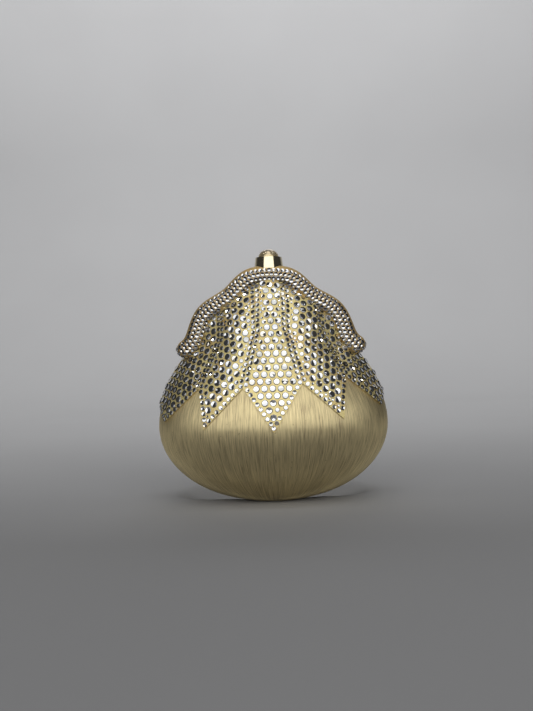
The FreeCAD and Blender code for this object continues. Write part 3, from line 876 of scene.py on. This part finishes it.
    def run(self):
        """Set all five petals and return the stones."""
        outlines = petal_outlines()
        polygons = {name: right + left[:0:-1] for name, right, left in outlines}
        for name, right, left in outlines:
            self.border(name, [right, left], polygons[name])
        for name, right, left in outlines:
            tip = right[0]
            top = ((right[-1][0] + left[-1][0]) / 2, self.ROW_TOP)
            if name.startswith("far"):
                top = (math.copysign(self.FAR_TOP[0], tip[0]), self.FAR_TOP[1])
            length = math.hypot(top[0] - tip[0], top[1] - tip[1])
            axis = ((top[0] - tip[0]) / length, (top[1] - tip[1]) / length)
            self.rows(name, polygons[name], self.first_place(tip, axis), axis)
        for name, right, left in outlines:
            self.fill(name, [right, left], polygons[name])
        return self.stones


def strides(points):
    """Distances between the points of a line."""
    return np.sqrt((np.diff(points, axis=0) ** 2).sum(1))


def travel(points):
    """Distance along a line to each of its points."""
    return np.concatenate(([0.0], np.cumsum(strides(points))))


def point_at(points, travelled, place):
    """Point of a line at a distance along it."""
    return [float(np.interp(place, travelled, column)) for column in points.T]


def spline(points, count):
    """Even points and tangents along a smooth curve through points."""
    knots = np.asarray(points, float)
    spans, places = strides(knots), travel(knots)
    size = len(knots)
    matrix = np.eye(size)
    target = np.zeros_like(knots)
    for index in range(1, size - 1):
        before, after = spans[index - 1], spans[index]
        matrix[index, index - 1:index + 2] = before, 2 * (before + after), after
        ahead = (knots[index + 1] - knots[index]) / after
        target[index] = 6 * (ahead - (knots[index] - knots[index - 1]) / before)
    bends = np.linalg.solve(matrix, target)
    where = np.linspace(0.0, places[-1], count)
    piece = np.clip(np.searchsorted(places, where, side="right") - 1, 0, size - 2)
    span = spans[piece][:, None]
    late = (where - places[piece])[:, None]
    early = span - late
    line = (bends[piece] * early ** 3 + bends[piece + 1] * late ** 3) / (6 * span)
    line += (knots[piece] / span - bends[piece] * span / 6) * early
    line += (knots[piece + 1] / span - bends[piece + 1] * span / 6) * late
    tangents = np.gradient(line, axis=0)
    return line, tangents / np.sqrt((tangents ** 2).sum(1))[:, None]


def bar_section(places):
    """Points of the bar's front section, across and y, at distances along it from its front middle."""
    flat = BAR_HALF_WIDTH - BAR_CORNER
    turn = np.clip((np.abs(places) - flat) / BAR_CORNER, 0.0, math.pi / 2)
    past = np.maximum(0.0, np.abs(places) - flat - BAR_CORNER * math.pi / 2)
    across = np.sign(places) * (np.minimum(np.abs(places), flat) + BAR_CORNER * np.sin(turn))
    return across, -BAR_HALF_DEPTH + BAR_CORNER * (1.0 - np.cos(turn)) + past


def bar_dip(x):
    """How much lower the stones of the bar start under the clasp."""
    return BAR_DIP * (1.0 - np.clip((np.abs(x) - BAR_DIP_SIDE) / BAR_DIP_FADE, 0.0, 1.0))


class BarSetter:
    """Sets the stones of the front frame bar, clear of the stones that are set before."""

    # Points along the bar, share of the radius that has to be free, how far in front petals hide a seat, the
    # least that a filler turns to the eye, and the fillers' shares of the radius with their spare room.
    LINE_POINTS = 1200
    FREE_SHARE = 0.68
    PETAL_COVER = 0.3
    FILL_FACING = 0.2
    FILLERS = ((1.0, -0.04), (0.72, 0.0))

    def __init__(self, sizes, stones):
        self.radius = sizes.bar / 2
        self.pitch = sizes.bar_pitch
        self.row_pitch = sizes.bar_row_pitch
        self.skin = Skin("front_frame")
        self.petals = petal_skin()
        self.stones = stones
        right = list(BAR_LINE)
        end = Vector((right[-1][0] - right[-2][0], right[-1][1] - right[-2][1])).normalized()
        right.append((right[-1][0] + end.x * BAR_HALF_WIDTH, right[-1][1] + end.y * BAR_HALF_WIDTH))
        self.line, tangents = spline(flipped(right[:0:-1]) + right, self.LINE_POINTS)
        self.outward = np.stack((-tangents[:, 1], tangents[:, 0]), 1)

    def row(self, number):
        """One row along the bar, counted from the outer edge, set lower under the clasp."""
        across, depths = bar_section(BAR_FIRST_ROW - bar_dip(self.line[:, 0]) - number * self.row_pitch)
        spots = np.column_stack((self.line + self.outward * across[:, None], depths))
        travelled = travel(spots)
        middle = travelled[-1] / 2
        first = self.pitch / 2 if number % 2 else 0.0
        for side in (1.0, -1.0):
            for stride in np.arange(first, middle, self.pitch):
                x, z, y = point_at(spots, travelled, middle + side * stride)
                self.set(self.skin.nearest(Vector((x, y, z))))

    def set(self, seat):
        """Set one stone, if it stands clear of the petals and has room."""
        if not self.covered(seat) and self.stones.room(seat[0]) > self.radius * self.FREE_SHARE:
            lean = BAR_LEAN * max(-1.0, min(1.0, seat[0].x / BAR_LEAN_SIDE))
            up = (seat[1] + Vector((lean, 0.0, 0.0))).normalized()
            self.stones.put((seat[0], up), self.radius, "frame")

    def covered(self, seat):
        """Whether a seat lies behind the petals."""
        front = self.petals.front(seat[0].x, seat[0].z)
        return front is not None and front[0].y < seat[0].y - self.PETAL_COVER

    def fill(self):
        """Stones in what room the rows leave, short of the plain lip."""
        seats = []
        side, low, high = FILL_BOX
        for x in np.arange(-side, side, FILL_STEP):
            for z in np.arange(low, high, FILL_STEP):
                seat = self.skin.front(float(x), float(z))
                if seat and seat[1].y < -self.FILL_FACING and not self.covered(seat):
                    seats.append(seat)
        spots, ups = seat_arrays(seats)
        limit = np.empty(len(spots))
        for index, spot in enumerate(spots):
            steps = spot[[0, 2]] - self.line
            nearest = int((steps * steps).sum(1).argmin())
            limit[index] = BAR_LIP - bar_dip(spot[0]) - float(steps[nearest] @ self.outward[nearest])
        sizes = [(self.radius * share, spare) for share, spare in self.FILLERS]
        fill_room(self.stones, spots, ups, limit, sizes, "frame")

    def run(self):
        """Set the rows and fill the gaps, and return the stones."""
        for number in range(BAR_ROWS):
            self.row(number)
        self.fill()
        return self.stones


def dress(node, finish):
    """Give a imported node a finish."""
    mesh = frame["nodes"][node].data
    mesh.materials.clear()
    mesh.materials.append(finish_of(finish))


def new_mesh(name, points, faces):
    """Smooth mesh of points in metres and faces."""
    mesh = bpy.data.meshes.new(name)
    mesh.from_pydata(points, [], faces)
    mesh.polygons.foreach_set("use_smooth", [True] * len(faces))
    return mesh


def show(name, data):
    """New object in the scene."""
    shown = bpy.data.objects.new(name, data)
    bpy.context.scene.collection.objects.link(shown)
    return shown


def copied_mesh(node, name):
    """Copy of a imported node's mesh, without its materials."""
    mesh = frame["nodes"][node].data.copy()
    mesh.name = name
    mesh.materials.clear()
    return mesh


def add_piece(name, mesh, body, finish):
    """A new piece that rides on a body."""
    mesh.materials.append(finish_of(finish))
    piece = show(name, mesh)
    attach(piece, body)
    return piece


class StoneMesh:
    """Gathers cut stones into one mesh, with the normals that the foil shows through the glass."""

    # Cut: facets around, table and height as shares of the radius, girdle as a share of the height, depth in
    # the bed, and the lean of the crown's shown normals.
    SIDES = 8
    TABLE = 0.82
    HEIGHT = 0.32
    GIRDLE = 0.32
    SINK = 0.12
    CROWN_LEAN = 0.53

    # Chance: spread of the turn of a level stone, and range of the foil's lean.
    SPIN = 0.1
    LEANS = (0.95, 1.05)

    # Tones: painted shade on the upper facets of a level stone; the rim, partly the dark setting ring,
    # partly painted shade under the crown; and the darkest table. Then how far up a level stone may
    # face and still get the painted shade.
    PAINTED_SHADE_TONE = 0.0
    RIM_SETTING_AND_SHADE_TONE = 0.1
    LEAST_TONE = 0.25
    PAINTED_SHADE_FACES_UP = 0.25

    def __init__(self, tilt, seed):
        self.tilt = tilt
        self.chance = random.Random(seed)
        self.points = []
        self.faces = []
        self.normals = []
        self.tones = []

    def stone(self, point, normal, radius, scatter, level):
        """One flat-backed stone: table of wedges, crown and girdle. A level one has its facets in line, and
        painted shade on its upper facets unless it faces far up.
        """
        chance, sides = self.chance, self.SIDES
        up = Vector(normal) + Vector([chance.gauss(0.0, scatter) for _ in range(3)])
        up.normalize()
        side = up.cross(Vector((0.0, 0.0, 1.0))).normalized()
        other = up.cross(side)
        spin = chance.gauss(0.0, self.SPIN) if level else chance.random() * math.tau
        rays = []
        for angle in (spin + index * math.tau / sides for index in range(sides)):
            rays.append(side * math.cos(angle) + other * math.sin(angle))
        height = radius * self.HEIGHT
        rings = ((self.TABLE * radius, height), (radius, height * self.GIRDLE), (radius, -self.SINK))
        base = len(self.points)
        centre = Vector(point)
        for reach, lift in rings:
            for ray in rays:
                self.points.append(tuple((centre + ray * reach + up * lift) * MM))
        self.points.append(tuple((centre + up * height) * MM))
        tip = len(self.points) - 1
        tone = self.LEAST_TONE + (1.0 - self.LEAST_TONE) * chance.random()
        for index in range(sides):
            after = (index + 1) % sides
            outward = (rays[index] + rays[after]).normalized()
            lean = self.tilt * chance.uniform(*self.LEANS)
            # Painted shade: the upper facets of a level stone that doesn't face far up.
            painted_shade_facet = level and up.z < self.PAINTED_SHADE_FACES_UP and outward.dot(other) < 0.0
            shown = up * math.cos(lean) - outward * math.sin(lean)
            self.face((tip, base + index, base + after), shown, self.PAINTED_SHADE_TONE if painted_shade_facet else tone)
            crown = (up + outward * self.CROWN_LEAN).normalized()
            # The crown and girdle take the rim tone: partly the dark setting ring, partly painted shade.
            for low, shown in ((base, crown), (base + sides, outward)):
                corners = (low + index, low + sides + index, low + sides + after, low + after)
                self.face(corners, shown, self.RIM_SETTING_AND_SHADE_TONE)

    def face(self, corners, normal, tone):
        """One facet with its shown normal."""
        self.faces.append(corners)
        self.normals.extend([tuple(normal)] * len(corners))
        self.tones.append(tone)

    def piece(self, name, body):
        """The gathered stones as one piece on a body."""
        mesh = new_mesh(name, self.points, self.faces)
        mesh.attributes.new("tone", "FLOAT", "FACE").data.foreach_set("value", self.tones)
        mesh.normals_split_custom_set(self.normals)
        return add_piece(name, mesh, body, "crystal")


def is_lost(half, point):
    """Whether a stone is the missing one of the front."""
    return half == "front" and math.hypot(point[0] - LOST_STONE[0], point[2] - LOST_STONE[1]) < LOST_REACH


def cut_stones(stones, names, half, tilt, scatter, seed, level=False):
    """Meshes of set stones, one piece for each owner, on the front or the back half."""
    turn = HALVES[half]
    for order, owner in enumerate(names):
        gathered = StoneMesh(tilt, seed + order)
        for point, normal, radius, found in zip(stones.points, stones.normals, stones.radii, stones.owners):
            if found != owner or is_lost(half, point):
                continue
            place = (point[0], point[1] * turn, point[2])
            gathered.stone(place, (normal[0], normal[1] * turn, normal[2]), radius, scatter, level)
        gathered.piece(f"{half}_{owner}_stones", half + "_half")


def petal_bed_piece(half, name):
    """A petal's plate with the dips of the gathers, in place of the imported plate."""
    node = f"{half}_{name}_petal"
    shell = Skin(f"{half}_shell")
    mesh = copied_mesh(node, f"{half}_{name}_bed")
    form = bmesh.new()
    form.from_mesh(mesh)
    for _ in range(BED_ROUNDS):
        long = [edge for edge in form.edges if edge.calc_length() > BED_EDGE * MM]
        if not long:
            break
        bmesh.ops.subdivide_edges(form, edges=long, cuts=1)
        bmesh.ops.triangulate(form, faces=form.faces[:])
    for vertex in form.verts:
        place = vertex.co / MM
        seat, normal = shell.nearest(place)
        share = min(1.0, max(0.0, (place - seat).length / PLATE_TOP))
        vertex.co -= normal * pleat_drop(place.x, place.z) * share * MM
    form.to_mesh(mesh)
    form.free()
    piece = add_piece(mesh.name, mesh, half + "_half", "petal_bed")
    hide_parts(node)


def tube(points, radii, sides, closed):
    """Points and faces of a round tube along a line that runs across Y."""
    count = len(points)
    corners, faces = [], []
    for index, centre in enumerate(points):
        before = points[index - 1] if closed or index else centre
        after = points[(index + 1) % count] if closed or index + 1 < count else centre
        along = (after - before).normalized()
        side = along.cross(Vector((0.0, 1.0, 0.0))).normalized()
        other = along.cross(side)
        for step in range(sides):
            angle = math.tau * step / sides
            corners.append(centre + (side * math.cos(angle) + other * math.sin(angle)) * radii[index])
    for ring in range(count if closed else count - 1):
        low, high = ring * sides, (ring + 1) % count * sides
        for step in range(sides):
            after = (step + 1) % sides
            faces.append((low + step, low + after, high + after, high + step))
    if not closed:
        faces.append(tuple(reversed(range(sides))))
        faces.append(tuple(range((count - 1) * sides, count * sides)))
    return corners, faces


class Lining:
    """Leather tray of a half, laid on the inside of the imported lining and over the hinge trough.

    It is sampled by rays from an eye in the middle of its mouth: around the mouth, then down into the tray.
    """

    # Rays around and down, the eye's height and its place inside the mouth.
    AROUND = 192
    DOWN = 46
    EYE_HEIGHT = 55.0
    EYE_INSET = 0.05

    # Leather: its thickness, its gap to bare metal, how often its corners are softened, and its puckers.
    THICKNESS = 0.6
    METAL_GAP = 0.95
    ROUNDING = 14
    PUCKERS = 54
    PUCKER_DEPTH = 0.3
    PUCKER_FADE = 5.0

    # Welt: its radius, its gap below the mouth, its lift as a share of the radius, and its sides.
    PIPING = 0.65
    PIPING_GAP = 0.1
    PIPING_LIFT = 0.5
    PIPING_SIDES = 10

    # Stitches: depth below the mouth, lift, pitch, first and last share of it, sides, and radii along one.
    STITCH_DEPTH = 3.4
    STITCH_LIFT = 0.06
    STITCH_PITCH = 3.0
    STITCH_ENDS = (0.13, 0.87)
    STITCH_SIDES = 6
    STITCH_RADII = (0.08, 0.22, 0.26, 0.22, 0.08)

    def __init__(self):
        self.eye = Vector((0.0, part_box("front_lining")[1].y / MM - self.EYE_INSET, self.EYE_HEIGHT))
        self.leather = Skin("front_lining")
        self.metal = Skin("front_shell")
        self.turns = [math.tau * step / self.AROUND for step in range(self.AROUND)]
        self.dips = [math.pi / 2 * step / self.DOWN for step in range(self.DOWN)]
        self.ways = [[self.way(turn, dip) for turn in self.turns] for dip in self.dips]
        self.reach = self.drape(np.array([[self.far(way) for way in ring] for ring in self.ways]))

    @staticmethod
    def way(turn, dip):
        """Direction around the mouth and down into the tray."""
        return Vector((math.cos(dip) * math.cos(turn), -math.sin(dip), math.cos(dip) * math.sin(turn)))

    def far(self, way):
        """How far the leather may go along a direction: to its own solid, or short of bare metal."""
        return min(self.leather.meet(self.eye, way), self.metal.meet(self.eye, way) - self.METAL_GAP)

    def drape(self, reach):
        """Reach with its corners bridged, as leather does, and gathered into puckers under the mouth."""
        for _ in range(self.ROUNDING):
            soft = (np.roll(reach, 1, 1) + np.roll(reach, -1, 1)) / 4 + reach / 2
            soft[1:-1] = (soft[:-2] + soft[2:]) / 4 + soft[1:-1] / 2
            reach = np.minimum(reach, soft)
        depth = reach * np.sin(self.dips)[:, None]
        swell = 0.5 + 0.5 * np.cos(np.array(self.turns) * self.PUCKERS)
        gather = self.PUCKER_DEPTH * swell * np.exp(-(depth / self.PUCKER_FADE) ** 2)
        return reach - gather * np.minimum(depth, 1.0)

    def sheet(self):
        """Points and faces of the closed leather sheet."""
        inner = np.array([[self.eye + way * float(reach) for way, reach in zip(*ring)]
                          for ring in zip(self.ways, self.reach)])
        pole = np.array(self.eye + Vector((0.0, -1.0, 0.0)) * float(self.reach[-1].mean()))
        along = np.roll(inner, -1, 1) - np.roll(inner, 1, 1)
        down = np.gradient(inner, axis=0)
        out = np.cross(along, down)
        out /= np.sqrt((out * out).sum(2))[:, :, None]
        if (out[0, 0] * np.array(self.ways[0][0])).sum() < 0.0:
            out = -out
        outer = inner + out * self.THICKNESS
        size = self.AROUND * self.DOWN
        poles = (pole, pole - np.array((0.0, self.THICKNESS, 0.0)))
        points = [*inner.reshape(-1, 3), *outer.reshape(-1, 3), *poles]
        faces = []
        for step in range(self.AROUND):
            after = (step + 1) % self.AROUND
            for ring in range(self.DOWN - 1):
                low, high = ring * self.AROUND, (ring + 1) * self.AROUND
                faces.append((low + step, high + step, high + after, low + after))
                faces.append((size + low + after, size + high + after, size + high + step, size + low + step))
            last = (self.DOWN - 1) * self.AROUND
            faces.append((last + step, 2 * size, last + after))
            faces.append((size + last + after, 2 * size + 1, size + last + step))
            faces.append((step, after, size + after, size + step))
        return points, faces

    def line(self, depth, lift):
        """Closed line at a depth under the mouth, lifted off the leather towards the eye."""
        found = []
        for step, turn in enumerate(self.turns):
            dip = math.asin(depth / float(self.reach[0, step]))
            reach = float(np.interp(dip, self.dips, self.reach[:, step])) - lift
            found.append(self.eye + self.way(turn, dip) * reach)
        return found

    def piping(self):
        """Round welt around the mouth."""
        path = self.line(self.PIPING + self.PIPING_GAP, self.PIPING * self.PIPING_LIFT)
        return tube(path, [self.PIPING] * len(path), self.PIPING_SIDES, True)

    def stitches(self):
        """Row of stitches below the welt."""
        path = np.array(self.line(self.STITCH_DEPTH, self.STITCH_LIFT))
        path = np.vstack((path, path[:1]))
        travelled = travel(path)
        count = round(travelled[-1] / self.STITCH_PITCH)
        points, faces = [], []
        for stitch in range(count):
            shares = np.linspace(*self.STITCH_ENDS, len(self.STITCH_RADII))
            places = (stitch + shares) * travelled[-1] / count
            spots = [Vector(point_at(path, travelled, place)) for place in places]
            corners, sides = tube(spots, self.STITCH_RADII, self.STITCH_SIDES, False)
            faces.extend(tuple(len(points) + corner for corner in side) for side in sides)
            points.extend(corners)
        return points, faces


def lining_piece(half, name, shape, finish):
    """Part of a lining on its half, the back one turned over."""
    points, faces = shape
    turn = HALVES[half]
    points = [(x * MM, y * turn * MM, z * MM) for x, y, z in points]
    mesh = new_mesh(f"{half}_lining_{name}", points, faces)
    form = bmesh.new()
    form.from_mesh(mesh)
    bmesh.ops.recalc_face_normals(form, faces=form.faces)
    form.to_mesh(mesh)
    form.free()
    return add_piece(mesh.name, mesh, half + "_half", finish)


class BAG_OT_finish_metal(bpy.types.Operator):
    """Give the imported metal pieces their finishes"""

    bl_idname = "bag.finish_metal"
    bl_label = "Finish metal"

    def execute(self, context):
        for finish, nodes in DRESSED.items():
            for node in nodes:
                dress(node, finish)
        return {"FINISHED"}


class BAG_OT_set_petals(bpy.types.Operator):
    """Set the stones of the petals on both halves"""

    bl_idname = "bag.set_petals"
    bl_label = "Set petal stones"

    def execute(self, context):
        sizes = context.scene.bag_stones
        stones = PetalSetter(sizes).run()
        SET_STONES["petals"] = stones
        names = [name for name, _, _ in petal_outlines()]
        for order, half in enumerate(HALVES):
            cut_stones(stones, names, half, sizes.tilt, PETAL_SCATTER, SEED + order * SEED_STEP)
        for half in HALVES:
            for name in names:
                petal_bed_piece(half, name)
        return {"FINISHED"}


class BAG_OT_set_frame(bpy.types.Operator):
    """Set the stones along the frame of both halves"""

    bl_idname = "bag.set_frame"
    bl_label = "Set frame stones"

    def execute(self, context):
        sizes = context.scene.bag_stones
        stones = BarSetter(sizes, SET_STONES["petals"]).run()
        for order, half in enumerate(HALVES, len(HALVES)):
            seed = SEED + order * SEED_STEP
            cut_stones(stones, ["frame"], half, sizes.bar_tilt, FRAME_SCATTER, seed, level=True)
        return {"FINISHED"}


class BAG_OT_cut_cabochon(bpy.types.Operator):
    """Cut the stone on the push button"""

    bl_idname = "bag.cut_cabochon"
    bl_label = "Cut cabochon"

    def execute(self, context):
        low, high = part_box("cabochon")
        radius, height = (high.x - low.x) / 2, high.z - low.z
        sides, levels = CABOCHON_SIDES, CABOCHON_RINGS
        points = [(0.0, 0.0, high.z)]
        faces = []
        for level in range(1, levels + 1):
            angle = math.pi / 2 * level / levels
            reach = radius * math.sin(angle)
            rise = low.z + height * math.cos(angle)
            for index in range(sides):
                turn = math.tau * index / sides
                points.append((reach * math.cos(turn), reach * math.sin(turn), rise))
        for index in range(sides):
            after = (index + 1) % sides
            faces.append((0, 1 + index, 1 + after))
            for level in range(levels - 1):
                first = 1 + level * sides
                faces.append((first + index, first + sides + index, first + sides + after, first + after))
        last = 1 + (levels - 1) * sides
        faces.append(tuple(last + index for index in reversed(range(sides))))
        mesh = new_mesh("cabochon_stone", points, faces)
        mesh.polygons[-1].use_smooth = False
        piece = add_piece("cabochon_stone", mesh, "button", "cabochon_glass")
        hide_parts("cabochon")
        return {"FINISHED"}


class BAG_OT_wind_spring(bpy.types.Operator):
    """Put in the return spring"""

    bl_idname = "bag.wind_spring"
    bl_label = "Wind return spring"

    def execute(self, context):
        low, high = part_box("return_spring")
        stroke = next(joint["range_m"][1] for joint in frame["joints"] if joint["name"] == "button_press")
        mesh = copied_mesh("return_spring", "return_spring_coil")
        piece = add_piece(mesh.name, mesh, "front_half", "steel")
        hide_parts("return_spring")
        keep = 1.0 - stroke / (high.z - low.z)
        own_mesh(piece)
        return {"FINISHED"}


class BAG_OT_line_halves(bpy.types.Operator):
    """Line both halves with leather"""

    bl_idname = "bag.line_halves"
    bl_label = "Line halves"

    def execute(self, context):
        lining = Lining()
        shapes = (("leather", lining.sheet(), "lining_leather"),
                  ("piping", lining.piping(), "lining_leather"),
                  ("stitches", lining.stitches(), "lining_thread"))
        for half in HALVES:
            leather, _, _ = [lining_piece(half, *shape) for shape in shapes]
            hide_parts(f"{half}_lining")
        return {"FINISHED"}


def hollow(x, y):
    """Depth of the floor's hollow behind the seam, which the open half swings down into."""
    across = (abs(x) / HOLLOW_WIDTH) ** 3
    along = y - HOLLOW_MIDDLE
    slope = (along / HOLLOW_FAR) ** 2 if along > 0.0 else (along / HOLLOW_NEAR) ** 4
    return HOLLOW_DEPTH * max(0.0, 1.0 - across - slope) ** HOLLOW_RIM


class BAG_OT_set_stage(bpy.types.Operator):
    """Set up the floor, backdrop, lamps, room light and camera"""

    bl_idname = "bag.set_stage"
    bl_label = "Set stage"

    def execute(self, context):
        studio = context.scene.bag_studio
        self.sweep(tuple(studio.wall))
        for name, panel in PANELS.items():
            self.panel(f"{name}_panel", *panel, getattr(studio, f"{name}_level"))
        world = bpy.data.worlds.new("room")
        context.scene.world = world
        world.use_nodes = True
        background = world.node_tree.nodes["Background"]
        background.inputs["Color"].default_value = ROOM_COLOUR
        background.inputs["Strength"].default_value = studio.surround
        camera = show("camera", bpy.data.cameras.new("camera"))
        camera.data.lens = studio.lens
        camera.data.sensor_width = SENSOR_WIDTH
        camera.location = (CAMERA_SIDE, -studio.distance, CAMERA_HEIGHT)
        camera.rotation_euler = (math.pi / 2, studio.roll, 0.0)
        context.scene.camera = camera
        context.scene.view_settings.view_transform = "Standard"
        return {"FINISHED"}

    @staticmethod
    def sweep(colour):
        """Floor that turns up into a wall."""
        finish = Finish("studio_paper")
        cloud = finish.noise(3.0, 3.0, 0.5)
        base = finish.ramp(cloud, (0.3, shade(colour, 0.97)), (0.7, shade(colour, 1.03)))
        finish.surface(Base_Color=base, Roughness=0.9)
        bend = WALL_PLACE - SWEEP_RADIUS
        profile = [(y, 0.0) for y in (FLOOR_FRONT, *np.arange(*HOLLOW_ROWS).tolist(), bend)]
        for index in range(1, SWEEP_STEPS + 1):
            angle = math.pi / 2 * index / SWEEP_STEPS
            height = SWEEP_RADIUS - SWEEP_RADIUS * math.cos(angle)
            profile.append((bend + SWEEP_RADIUS * math.sin(angle), height))
        profile.append((WALL_PLACE, WALL_TOP))
        columns = [-FLOOR_HALF, *np.arange(*HOLLOW_COLUMNS).tolist(), FLOOR_HALF]
        points = [(x, y, z - hollow(x, y)) for y, z in profile for x in columns]
        width = len(columns)
        firsts = [row * width + column for row in range(len(profile) - 1) for column in range(width - 1)]
        faces = [(first, first + 1, first + width + 1, first + width) for first in firsts]
        mesh = new_mesh("studio_sweep", points, faces)
        mesh.materials.append(finish.material)
        show("studio_sweep", mesh)

    @staticmethod
    def panel(name, place, aim, size, level):
        """Soft panel of a given brightness, turned to a point."""
        light = bpy.data.lights.new(name, "AREA")
        light.shape = "RECTANGLE"
        light.size, light.size_y = size
        light.energy = PANEL_POWER * size[0] * size[1] * level
        lamp = show(name, light)
        lamp.location = place
        lamp.rotation_euler = (Vector(aim) - Vector(place)).to_track_quat("-Z", "Y").to_euler()
        lamp.visible_camera = False


STEPS = (BAG_OT_set_stage, BAG_OT_finish_metal, BAG_OT_set_petals, BAG_OT_set_frame, BAG_OT_cut_cabochon,
         BAG_OT_wind_spring, BAG_OT_line_halves)


class BAG_PT_steps(bpy.types.Panel):
    """Steps that dress the bag"""

    bl_idname = "BAG_PT_steps"
    bl_label = "Evening bag"
    bl_space_type = "VIEW_3D"
    bl_region_type = "UI"
    bl_category = "Evening bag"

    def draw(self, context):
        for step in STEPS:
            self.layout.operator(step.bl_idname)
        for group in (getattr(context.scene, name) for name in GROUPS):
            for name in group.__annotations__:
                self.layout.prop(group, name)


GROUPS = {"bag_stones": StoneSettings, "bag_finish": FinishSettings, "bag_studio": StudioSettings}


def register():
    """Add the classes and their settings."""
    for name, group in GROUPS.items():
        bpy.utils.register_class(group)
        setattr(bpy.types.Scene, name, bpy.props.PointerProperty(type=group))
    for step in (*STEPS, BAG_PT_steps):
        bpy.utils.register_class(step)


def unregister():
    """Take the classes and their settings away."""
    for step in (BAG_PT_steps, *reversed(STEPS)):
        bpy.utils.unregister_class(step)
    for name, group in GROUPS.items():
        delattr(bpy.types.Scene, name)
        bpy.utils.unregister_class(group)


def main():
    """Dress the bag."""
    register()
    for step in STEPS:
        family, name = step.bl_idname.split(".")
        getattr(getattr(bpy.ops, family), name)()


if __name__ == "__main__":
    main()
